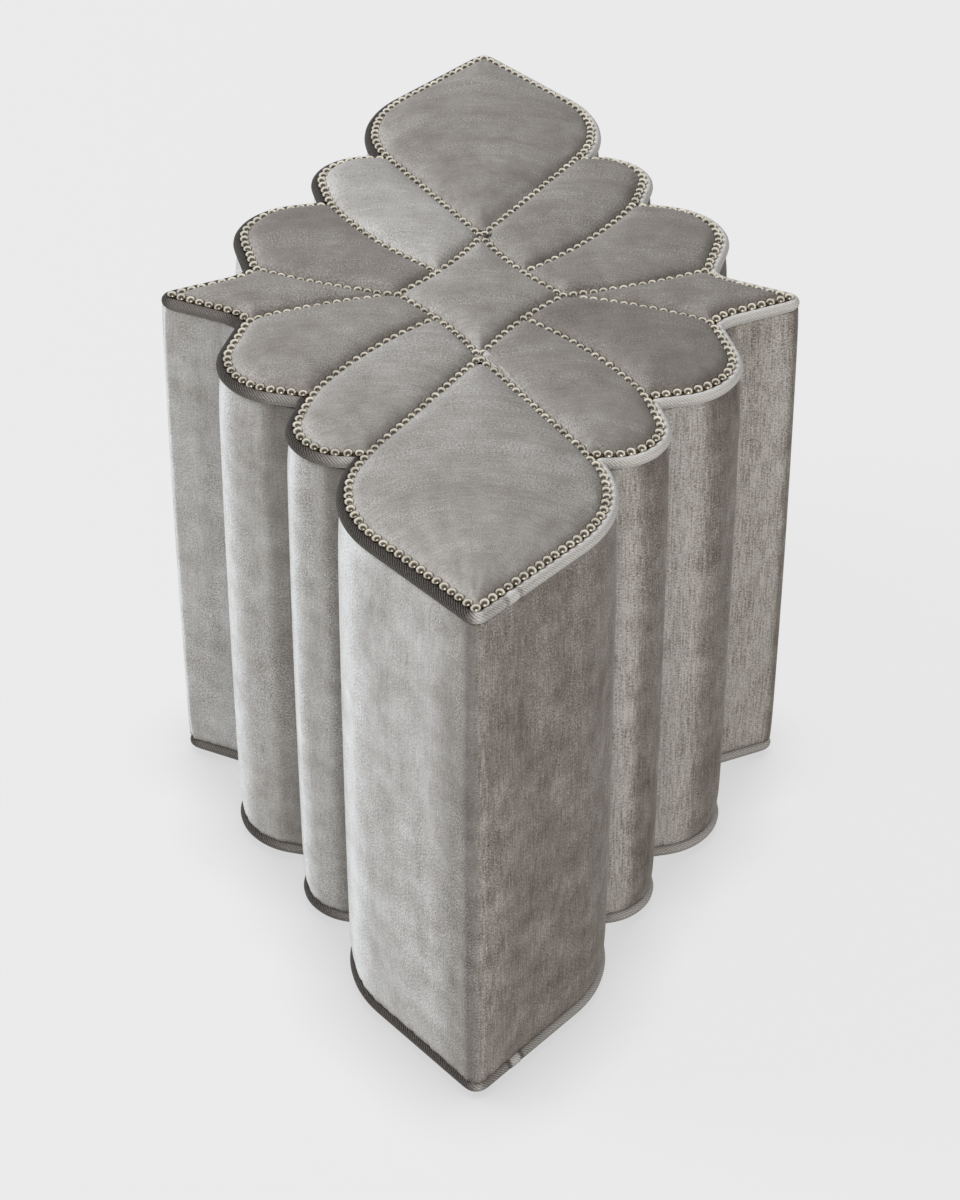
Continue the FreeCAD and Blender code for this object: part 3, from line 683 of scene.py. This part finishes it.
def topPads():
    # the four sides of every pad, from the lines of the back right quarter and their mirror images
    edge = np.vstack((lines["diamondLow"], lines["diamondHigh"]))
    puffPiece("diamond_pad", [edge, edge * (-1, 1), edge * (-1, -1), edge * (1, -1)])
    rim = lines["petalRim"]
    rim = rim[rim[:, 0] >= 0]
    shoulder = int(np.argmax(rim[:, 0]))
    upper, lower = rim[shoulder:], chained(lines["petalSeam"], rim[:shoulder + 1])
    petal = [upper, lower, lower * (-1, 1), upper * (-1, 1)]
    narrow = [lines["narrowRim"], lines["narrowSeam"], lines["diamondHigh"], lines["petalSeam"]]
    wide = [lines["wideRim"], lines["wideSeam"], lines["diamondLow"], lines["narrowSeam"]]
    sideRim = lines["sideRim"]
    tipAt = int(np.argmax(sideRim[:, 0]))
    side = [sideRim[:tipAt + 1], sideRim[tipAt:], lines["wideSeam"], lines["wideSeam"] * (1, -1)]
    for place, sy in (("back", 1), ("front", -1)):
        puffPiece(f"{place}_petal_pad", [curve * (1, sy) for curve in petal])
    for place, sx in (("right", 1), ("left", -1)):
        puffPiece(f"{place}_petal_pad", [curve * (sx, 1) for curve in side])
    for place, (sx, sy) in quarters.items():
        puffPiece(f"narrow_lobe_pad_{place}", [curve * (sx, sy) for curve in narrow])
        puffPiece(f"wide_lobe_pad_{place}", [curve * (sx, sy) for curve in wide])


topPads()
print("top pads done")


# Side covers

cover = {
    "reach": 7.6,        # mm from the seam line to the face
    "pinch": 3.0,        # mm that the face draws in at the welts, but not in the valleys
    "ease": 13.0,        # mm below and above the welts where most of that is gone
    "valley": (3, 18),   # mm from a valley where the pinch starts, and where it is full
    "pointEase": 0.6,    # share of the pinch that a point is spared, so that its edge runs straight
    "swell": 1.0,        # mm more at mid height
    "ripple": 0.5,       # mm, soft upright waves of the padding
    "rippleRun": 34.0,   # mm from one to the next
    "rippleFade": 20,    # mm from a valley where they are full
    "fine": 0.6,         # finer waves among them, as a share
    "fineRun": 19.0,
    "fineTurn": 2.3,     # sets them apart from panel to panel
    "pleat": 0.7,        # mm, small gathers at both welts beside the points
    "pleatRun": 9.0,
    "pleatReach": 30.0,
    "pleatDrop": 16.0,   # mm from the welts
    "tug": 0.6,          # mm, shallow gathers along the top and bottom edges
    "tugRun": 13.0,
    "tugBeat": 47.0,     # mm over which they come and go
    "tugTurn": 3,
    "tugReach": 16.0,
    "tugFade": 15,
    # lean of the pile together with painted light and shade, by the way a face turns: 0 degrees to the right, 90 to
    # the front or back, 180 to the left
    "lean": {0: 0.42, 25: 0.39, 42: 0.37, 53: 0.47, 63: 0.77, 73: 0.83, 82: 0.74, 92: 0.32, 104: 0.37, 115: 0.60,
             135: 0.55, 150: 0.80, 160: 0.92, 170: 0.80, 180: 0.62},
    "rake": (0.25, 1.0),       # how far the light rakes left-facing and right-facing sides
    "rakeTurn": (-0.3, 0.5),   # rightward part of a face's normal from which it does, and where that is full
    "underWeltShadow": 0.16,     # painted shadow: right-facing sides are darker under the top welt
    "highReach": 45.0,
    "highTurn": (0.0, 0.4),
    "stitchGapShade": 0.5,    # painted shade in the gap: all are darker along the stitches over the bottom welt
    "stitchReach": 1.5,
    "pointLightCap": 0.46,   # the most painted light on a point, so that no bright line runs down it
    "pointWidth": 12,    # mm to each side, and degrees from straight ahead, that count as the point
    "pointTurn": 35,
    "pointShade": 0.22,    # painted shade to the left of a point
    "rightPaintedLight": 0.05,    # and a little painted light to the right of it
    "pointReach": 34.0,
    "asideTurn": 20,     # degrees from straight ahead from which a face counts as left or right
    "layShift": 1000,    # mm from one panel's pattern to the next
    "tuck": 2.0,         # mm that a cover runs on behind its neighbour
    "thickness": 8.2,
    "pointStep": 4.0,
    "heightSteps": 46,
    "pressure": 0.3,
    "cap": 2.0,
}
coverRuns = rimRuns(cover["reach"], cover["tuck"])


def coverPiece(name, leaf, turn):
    # panel carried along its leaf's edge: at each height the face stands out by reach, less a pinch that eases off
    # from both welts as exp(-gap / ease), plus a swell like half a sine, low upright waves, and gathers by the point
    # and along both edges, which are sine waves that fade with the distance from there
    line = resampled(coverRuns[leaf], step=cover["pointStep"])
    normal = outwardNormals(line, closed=False)
    length = lengthAlong(line)
    share = 0.5 - 0.5 * np.cos(np.linspace(0, np.pi, cover["heightSteps"]))
    height = coverLow + (coverHigh - coverLow) * share
    gap = np.minimum(height - coverLow, coverHigh - height)
    body = np.sin(np.pi * share)[None]
    ends = np.minimum(length, length[-1] - length)[:, None]
    point = length[-1] / 2 if "petal" in leaf else -1e3      # a lobe has none, so it counts as far off
    fromPoint = (length - point)[:, None]
    pinch = cover["pinch"] * np.exp(-gap / cover["ease"])[None] * smoothStep(ends, *cover["valley"])
    pinch = pinch * (1 - cover["pointEase"] * np.exp(-np.abs(fromPoint) / cover["pleatReach"]))
    out = cover["swell"] * body - pinch
    circle = 2 * np.pi * length
    wave = (np.sin(circle / cover["rippleRun"] + turn)
            + cover["fine"] * np.sin(circle / cover["fineRun"] + cover["fineTurn"] * turn))
    out = out + cover["ripple"] * wave[:, None] * body * smoothStep(ends, 0, cover["rippleFade"])
    out = out + (cover["pleat"] * np.cos(2 * np.pi * fromPoint / cover["pleatRun"])
                 * np.exp(-np.abs(fromPoint) / cover["pleatReach"]) * np.exp(-gap / cover["pleatDrop"])[None])
    tug = np.sin(circle / cover["tugRun"] + cover["tugTurn"] * turn) * np.sin(circle / cover["tugBeat"] + turn)
    out = out + (cover["tug"] * tug[:, None] * np.exp(-gap / cover["tugReach"])[None]
                 * smoothStep(ends, 0, cover["tugFade"]))
    face = line[:, None, :] + normal[:, None, :] * out[..., None]
    back = np.repeat((line - normal * cover["thickness"])[:, None, :], 2, axis=1)
    ring = np.concatenate((face, back), axis=1)
    z = np.concatenate((height, height[[-1, 0]]))
    rows, columns = ring.shape[:2]
    points = np.column_stack((ring.reshape(-1, 2), np.tile(z, rows)))
    end = np.arange(columns)
    faces = [*gridFaces(rows, columns, closeColumns=True)[:, ::-1], end, end[::-1] + (rows - 1) * columns]
    lay = np.column_stack((np.repeat(length + cover["layShift"] * turn, columns), points[:, 2])) * mm
    # the pile's lean and painted light and shade, read off the table by the way each face turns
    facing = np.degrees(np.arctan2(np.abs(normal[:, 1]), normal[:, 0]))
    napAndPaintedLight = np.interp(facing, list(cover["lean"]), list(cover["lean"].values()))
    # on the front and back points: painted light capped on the point, painted shade to its left, a little painted
    # light to its right
    if leaf in ("front_petal", "back_petal"):
        aside, ahead = np.abs(fromPoint[:, 0]), facing - 90
        onPoint = (aside < cover["pointWidth"]) & (np.abs(ahead) < cover["pointTurn"])
        napAndPaintedLight = np.where(onPoint, np.minimum(napAndPaintedLight, cover["pointLightCap"]), napAndPaintedLight)
        beside = 1 - smoothStep(aside, 0.5 * cover["pointReach"], 1.5 * cover["pointReach"])
        napAndPaintedLight = napAndPaintedLight + beside * np.where(ahead > cover["asideTurn"], -cover["pointShade"],
                                      np.where(ahead < -cover["asideTurn"], cover["rightPaintedLight"], 0))
        napAndPaintedLight = napAndPaintedLight[:, None]
    else:
        # painted shadow under the top welt on right-facing sides
        high = cover["underWeltShadow"] * np.exp(-(coverHigh - z) / cover["highReach"])
        napAndPaintedLight = napAndPaintedLight[:, None] - high * smoothStep(normal[:, :1], *cover["highTurn"])
    # painted shade in the gap along the stitches over the bottom welt
    napAndPaintedLight = (napAndPaintedLight - cover["stitchGapShade"] * np.exp(-(z - coverLow) / cover["stitchReach"])).ravel()
    least, most = cover["rake"]
    rake = np.repeat(least + (most - least) * smoothStep(normal[:, 0], *cover["rakeTurn"]), columns)
    piece = addPiece(f"{name}_panel", points, faces, sideVelvet, {"napAndPaintedLight": napAndPaintedLight, "rake": rake}, lay)
    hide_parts(name)
    spot = np.arange(rows * columns).reshape(rows, columns)
    loose = spot[2:-2, 2:cover["heightSteps"] - 2]
    padded.append((piece, np.setdiff1d(spot, loose), cover["pressure"], cover["cap"]))


for turn, leaf in enumerate(aroundRim):
    kind, _, place = leaf.partition("_")
    coverPiece(f"{kind}_lobe_cover_{place}" if kind in ("narrow", "wide") else f"{leaf}_cover", leaf, turn)
print("side covers done")

settle()
print("padding settled")


# Welts

weltCord = {
    "reach": 4.2,      # mm from the seam line to the middle of the cord
    "radius": 4.4,     # upright; the cord is pressed a little flatter across
    "across": 0.9,
    "step": 2.0,
    "sides": 14,
    "round": 4,        # passes that ease the sharp turns in the valleys
    "joinAt": {"top_welt": (23.5, -404.0), "bottom_welt": (27.5, -399.0)},   # mm, where the ends are sewn together
    "joinSwell": {"top_welt": 0.05, "bottom_welt": 0.12},
    "joinHalf": 7.0,   # mm from the middle of the overlap to the stitches at its two ends
    "joinLine": 1.4,   # mm, width of their dark line
    "joinNap": {"top_welt": 0.4, "bottom_welt": 0.6},         # how much darker that line is
    "joinPale": 0.5,   # share of that by which the overlap between is paler
    # painted shade: the cord's tone where it turns to the left
    "leftShade": 0.05,
    "rightPaintedLight": {"top_welt": 0.92, "bottom_welt": 0.68},      # painted light: paler where the cord turns to the right
    "frontShare": 0.25,      # and a little where it turns to the front
    "rightTurn": (-0.75, 0.8),
    "pointShade": 0.3,         # painted shade: less pale beside the front and back points
    "pointReach": 55.0,
    "pointTurn": (0.2, 0.7),
}


def weltPath():
    # the rim moved out, each point then drawn half way to the middle of its neighbours, a few times over
    line = rimLine(weltCord["reach"], weltCord["step"])
    for _ in range(weltCord["round"]):
        line = (np.roll(line, 1, axis=0) + 2 * line + np.roll(line, -1, axis=0)) / 4
    return line


def weltPiece(name, line, box):
    # round cord along the edge: a circle across the path at every point of it, a little thicker where its ends
    # overlap and thinner at the stitches on both sides of that
    middle = (box[0][2] + box[1][2]) / 2 / mm
    normal = outwardNormals(line)
    length = np.arange(len(line)) * weltCord["step"]
    turn = np.linspace(0, 2 * np.pi, weltCord["sides"], endpoint=False)
    join = length - length[np.argmin(np.hypot(*(line - weltCord["joinAt"][name]).T))]
    stitch = np.exp(-((np.abs(join) - weltCord["joinHalf"]) / weltCord["joinLine"]) ** 2)
    overlap = np.exp(-(join / weltCord["joinHalf"]) ** 4)
    radius = weltCord["radius"] * (1 + weltCord["joinSwell"][name] * (overlap - stitch))
    xy = line[:, None, :] + normal[:, None, :] * (weltCord["across"] * radius[:, None] * np.cos(turn))[..., None]
    z = middle + radius[:, None] * np.sin(turn)
    points = np.column_stack((xy.reshape(-1, 2), z.ravel()))
    faces = gridFaces(len(line), weltCord["sides"], closeRows=True, closeColumns=True)[:, ::-1]
    lay = np.column_stack((np.repeat(length, len(turn)), np.tile(turn * weltCord["radius"], len(line)))) * mm
    # painted light and shade by the way the cord turns: pale to the right and a little to the front, dark to the
    # left, less pale beside the points
    facing = normal[:, 0] - weltCord["frontShare"] * normal[:, 1]
    napAndPaintedLight = weltCord["leftShade"] + weltCord["rightPaintedLight"][name] * smoothStep(facing, *weltCord["rightTurn"])
    toPoint = np.hypot(line[:, 0], np.abs(line[:, 1]) - plan["tip"][1])
    napAndPaintedLight = napAndPaintedLight - (weltCord["pointShade"] * np.exp(-toPoint / weltCord["pointReach"])
                 * smoothStep(normal[:, 0], *weltCord["pointTurn"]))
    napAndPaintedLight = napAndPaintedLight + weltCord["joinNap"][name] * (weltCord["joinPale"] * overlap - stitch)
    piece = addPiece(f"{name}_cord", points, faces, weltVelvet, {"napAndPaintedLight": np.repeat(napAndPaintedLight, len(turn))}, lay)
    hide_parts(name)


path = weltPath()
weltPiece("top_welt", path, topWeltBox)
weltPiece("bottom_welt", path, bottomWeltBox)
print("welts done")


# Nails

nail = {
    "width": 8.4,
    "height": 2.8,
    "pitch": 8.4,
    "sides": 10,
    "rise": (0, 0, 32, 58, 78),      # degrees round the dome at which its rings stand; the first is the skirt's foot
    "skirt": 0.8,      # mm, straight edge under the dome
    "apart": 0.75,     # share of the pitch that two heads of different rows keep
    "seed": 11,
    "tilt": 0.12,      # slope that a head may lean by
    "stray": 0.3,      # mm that a head may sit off its line
    "rimDrop": 0.7,    # mm that the outer rows sit lower, where the board's edge is eased
    "seamDrop": 0.6,   # and the rows between the pads, which are driven in harder
}


def nailRows():
    # round the rim, along the seams and round the diamond
    rows = [nailRuns[leaf] for leaf in aroundRim]
    for sx, sy in quarters.values():
        for key in ("petalSeam", "narrowSeam", "wideSeam"):
            rows.append(lines[key] * (sx, sy))
        rows.append(np.vstack((lines["diamondLow"], lines["diamondHigh"])) * (sx, sy))
    return rows


def nailSpots():
    # heads evenly spaced along each row, about a pitch apart; none where another stands already
    placed = np.empty((0, 3))
    for number, row in enumerate(nailRows()):
        spots = resampled(row, step=nail["pitch"])
        if len(placed):
            near = np.hypot(*(spots[:, None] - placed[None, :, :2]).transpose(2, 0, 1)).min(1)
            spots = spots[near > nail["apart"] * nail["pitch"]]
        drop = np.full(len(spots), nail["rimDrop"] if number < len(aroundRim) else nail["seamDrop"])
        placed = np.vstack((placed, np.column_stack((spots, drop))))
    return placed


def nailPiece():
    # domed heads: a quarter ellipse turned round and closed underneath, copied to every spot with a small lean
    rng = np.random.default_rng(nail["seed"])
    placed = nailSpots()
    spots = placed[:, :2] + rng.uniform(-nail["stray"], nail["stray"], (len(placed), 2))
    rise = np.radians(nail["rise"])
    radius = nail["width"] / 2 * np.cos(rise)
    height = nail["height"] * np.sin(rise)
    height[0] = -nail["skirt"]
    turn = np.linspace(0, 2 * np.pi, nail["sides"], endpoint=False)
    one = np.stack((radius[:, None] * np.cos(turn), radius[:, None] * np.sin(turn),
                    np.repeat(height[:, None], nail["sides"], axis=1)), axis=-1).reshape(-1, 3)
    one = np.vstack((one, (0, 0, nail["height"])))
    lean = rng.uniform(-nail["tilt"], nail["tilt"], (len(spots), 2))
    points = np.repeat(one[None], len(spots), axis=0)
    points[..., 2] += (points[..., :2] * lean[:, None]).sum(2)
    points[..., :2] += spots[:, None]
    points[..., 2] += (seatHeight + puff["foot"] - placed[:, 2])[:, None]
    quads = gridFaces(len(rise), nail["sides"], closeColumns=True)
    last = (len(rise) - 1) * nail["sides"] + np.arange(nail["sides"])
    cap = np.column_stack((last, np.roll(last, -1), np.full(nail["sides"], len(one) - 1)))
    start = (np.arange(len(spots)) * len(one))[:, None, None]
    under = np.arange(nail["sides"])[::-1]
    faces = [*(quads[None] + start).reshape(-1, 4), *(cap[None] + start).reshape(-1, 3),
             *(under + start[..., 0])]
    addPiece("decorative_nails", points.reshape(-1, 3), faces, nickel)
    print(len(spots), "nails")


nailPiece()
print("nails done")


# Dust cover

dustCloth = {
    "inset": 0.5,      # mm inside the base board's edge
    "sag": 1.5,        # mm in the middle
    "step": 6.0,
    "rings": 14,
    "thickness": 0.6,
}


def dustPiece(material):
    # cloth stapled under the base: rings of the base's outline drawn in towards the middle by a share s, each lower
    # by sag * (1 - s * s) squared, and the same again a thickness lower, joined round the edge
    edge = rimLine(-dustCloth["inset"], dustCloth["step"])
    share = np.linspace(0, 1, dustCloth["rings"] + 1)[1:]
    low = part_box("dust_cover")[1][2] / mm - dustCloth["sag"] * (1 - share ** 2) ** 2
    rings = np.concatenate((edge[None] * share[:, None, None],
                            np.broadcast_to(low[:, None, None], (len(share), len(edge), 1))), axis=2)
    under = rings[::-1] - (0, 0, dustCloth["thickness"])
    grid = np.concatenate((rings, under))
    rows, columns = grid.shape[:2]
    top = (0, 0, low[0])
    points = np.vstack((grid.reshape(-1, 3), top, np.subtract(top, (0, 0, dustCloth["thickness"]))))
    first = np.arange(columns)
    last = first + (rows - 1) * columns
    faces = [*gridFaces(rows, columns, closeColumns=True)[:, ::-1],
             *np.column_stack((np.full(columns, rows * columns), first, np.roll(first, -1))),
             *np.column_stack((np.full(columns, rows * columns + 1), np.roll(last, -1), last))]
    piece = addPiece("dust_cover_cloth", points, faces, material)
    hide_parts("dust_cover")


# Carried-over pieces

def plainMaterial(name, dark, light, size, stretch, roughness):
    # raw board, planed wood, moulded nylon or non-woven cloth: a faint two-tone grain of a given width in mm
    material, tree = newMaterial(name)
    place = addNode(tree, "TexCoord").outputs["Object"]
    scaled = addNode(tree, "Mapping", {"Scale": tuple(s / size / mm for s in stretch)},
                     {"Vector": place}).outputs[0]
    grain = addNode(tree, "TexNoise", {"Scale": 1.0, "Detail": 4.0, "Distortion": 0.4},
                    {"Vector": scaled}).outputs[0]
    colour = setRamp(addNode(tree, "ValToRGB", {}, {"Fac": grain}),
                     [(0.3, dark), (0.7, light)]).outputs[0]
    bump = addNode(tree, "Bump", {"Strength": 0.2, "Distance": 0.4 * mm}, {"Height": grain}).outputs[0]
    shader = addNode(tree, "BsdfPrincipled", {"Roughness": roughness},
                     {"Base Color": colour, "Normal": bump})
    addNode(tree, "OutputMaterial", {}, {"Surface": shader.outputs[0]})
    return material


carried = {
    "plywood": plainMaterial("birch plywood, sanded", "#b08f68", "#cdb08a", 6.0, (1, 0.08, 1), 0.7),
    "softwood": plainMaterial("pine, planed", "#c29a63", "#dcba86", 5.0, (1, 1, 0.05), 0.65),
    "nylon": plainMaterial("nylon, moulded", "#0d0d0d", "#1a1a1a", 1.5, (1, 1, 1), 0.5),
    "dust_cloth": plainMaterial("polypropylene cloth, non-woven", "#121212", "#202020", 1.2, (1, 1, 1), 0.9),
}
for subpart in frame["record"]["subparts"]:
    if subpart["material_slot"] in carried:
        for slot in bpy.data.objects[subpart["node"]].material_slots:
            slot.material = carried[subpart["material_slot"]]
dustPiece(carried["dust_cloth"])
print("carried-over pieces and dust cover done")


# Stage

stage = {
    "floor": "#ebebeb",
    "floorReach": 60.0,      # m
    "ownTone": 0.95,         # share of the floor's tone to the eye that no cast shadow takes away; it carries the painted contact shade
    "contact": 0.07,         # m that the painted shade close to the base reaches
    "closed": (0.45, 0.79),  # openness at which it is full, and the tone left there
    "aim": (0, 0, 0.25),     # where the lamps point
    "cameraPlace": (0.01646, -2.1998, 1.7251),
    "cameraTilt": (math.pi / 2 - 0.6186, 0.0, 0.0076),
    "lens": 96.38,
    "sensor": 36.0,
    "sky": 0.28,
    "walls": 1.6,            # what shows in the metal: pale walls, and a dim part of the room
    "dim": 0.16,
    "dimWay": (0.0, -0.6, 0.8),
    "dimEdge": (0.28, 0.7),  # cosine of the angle from that way, at the dim part's outer and inner edge
    "lamps": {
        "key": {"place": (-6.0, 1.0, 5.4), "size": 5.0, "power": 560, "colour": "#f4f6fb", "inMetal": False},
        "fill": {"place": (1.2, -6.8, 2.6), "size": 4.8, "power": 147, "colour": "#fff8f0", "inMetal": True},
    },
}


def floorMaterial():
    # matt paper sweep: mostly its own tone to the eye, so that it stays pale, with painted shade near the base where
    # little is open, and the rest takes the shadow
    material, tree = newMaterial("paper sweep, matt")
    path = addNode(tree, "LightPath")
    seen = addNode(tree, "Math", {"operation": "MAXIMUM"},
                   {0: path.outputs["Is Camera Ray"], 1: path.outputs["Is Glossy Ray"]}).outputs[0]
    seen = addNode(tree, "Math", {"operation": "MAXIMUM"},
                   {0: seen, 1: path.outputs["Is Transmission Ray"]}).outputs[0]
    part = addNode(tree, "Math", {"operation": "MULTIPLY", 1: stage["ownTone"]}, {0: seen}).outputs[0]
    lit = addNode(tree, "BsdfDiffuse", {"Color": linear(stage["floor"])}).outputs[0]
    # painted contact shade: the floor's own tone darkens where the base closes off the space above it
    openness = addNode(tree, "AmbientOcclusion",
                       {"Distance": stage["contact"], "samples": 16}).outputs["AO"]
    full, left = stage["closed"]
    shade = addNode(tree, "MapRange", {"From Min": full, "To Min": left}, {"Value": openness}).outputs[0]
    glow = addNode(tree, "Emission", {"Color": linear(stage["floor"])}, {"Strength": shade}).outputs[0]
    shader = addNode(tree, "MixShader", {}, {0: part, 1: lit, 2: glow})
    addNode(tree, "OutputMaterial", {}, {"Surface": shader.outputs[0]})
    return material


def setStage():
    floor = bpy.data.meshes.new("floor")
    far = stage["floorReach"]
    floor.from_pydata([(-far, -far, 0), (far, -far, 0), (far, far, 0), (-far, far, 0)], [], [(0, 1, 2, 3)])
    floor.materials.append(floorMaterial())
    floorObject = bpy.data.objects.new("floor", floor)
    scene.collection.objects.link(floorObject)
    for name, lamp in stage["lamps"].items():
        light = bpy.data.lights.new(name, "AREA")
        light.shape, light.size, light.energy = "DISK", lamp["size"], lamp["power"]
        light.color = linear(lamp["colour"])[:3]
        holder = bpy.data.objects.new(name, light)
        holder.location = lamp["place"]
        aim = np.subtract(stage["aim"], lamp["place"])
        flat = math.hypot(aim[0], aim[1])
        holder.rotation_euler = (math.pi / 2 + math.atan2(aim[2], flat), 0, math.atan2(-aim[0], aim[1]))
        holder.visible_glossy = lamp["inMetal"]
        scene.collection.objects.link(holder)
    world = bpy.data.worlds.new("studio")
    world.use_nodes = True
    # the studio's pale walls show in the metal; less of them lights the cloth
    tree = world.node_tree
    path = addNode(tree, "LightPath")
    way = addNode(tree, "TexCoord").outputs["Generated"]
    near = addNode(tree, "VectorMath", {"operation": "DOT_PRODUCT", 1: stage["dimWay"]},
                   {0: way}).outputs["Value"]
    outer, inner = stage["dimEdge"]
    room = addNode(tree, "MapRange", {"From Min": outer, "From Max": inner, "To Min": stage["walls"],
                                      "To Max": stage["dim"]}, {"Value": near}).outputs[0]
    level = addNode(tree, "MapRange", {"To Min": stage["sky"]},
                    {"Value": path.outputs["Is Glossy Ray"], "To Max": room}).outputs[0]
    level = addNode(tree, "MapRange", {"To Max": linear(stage["floor"])[0]},
                    {"Value": path.outputs["Is Camera Ray"], "To Min": level}).outputs[0]
    tree.links.new(level, tree.nodes["Background"].inputs["Strength"])
    tree.nodes["Background"].inputs["Color"].default_value = linear("#ffffff")
    scene.world = world
    view = bpy.data.cameras.new("view")
    view.lens, view.sensor_width = stage["lens"], stage["sensor"]
    holder = bpy.data.objects.new("view", view)
    holder.location, holder.rotation_euler = stage["cameraPlace"], stage["cameraTilt"]
    scene.collection.objects.link(holder)
    scene.camera = holder
    scene.view_settings.view_transform = "Standard"


setStage()
print("stage set")
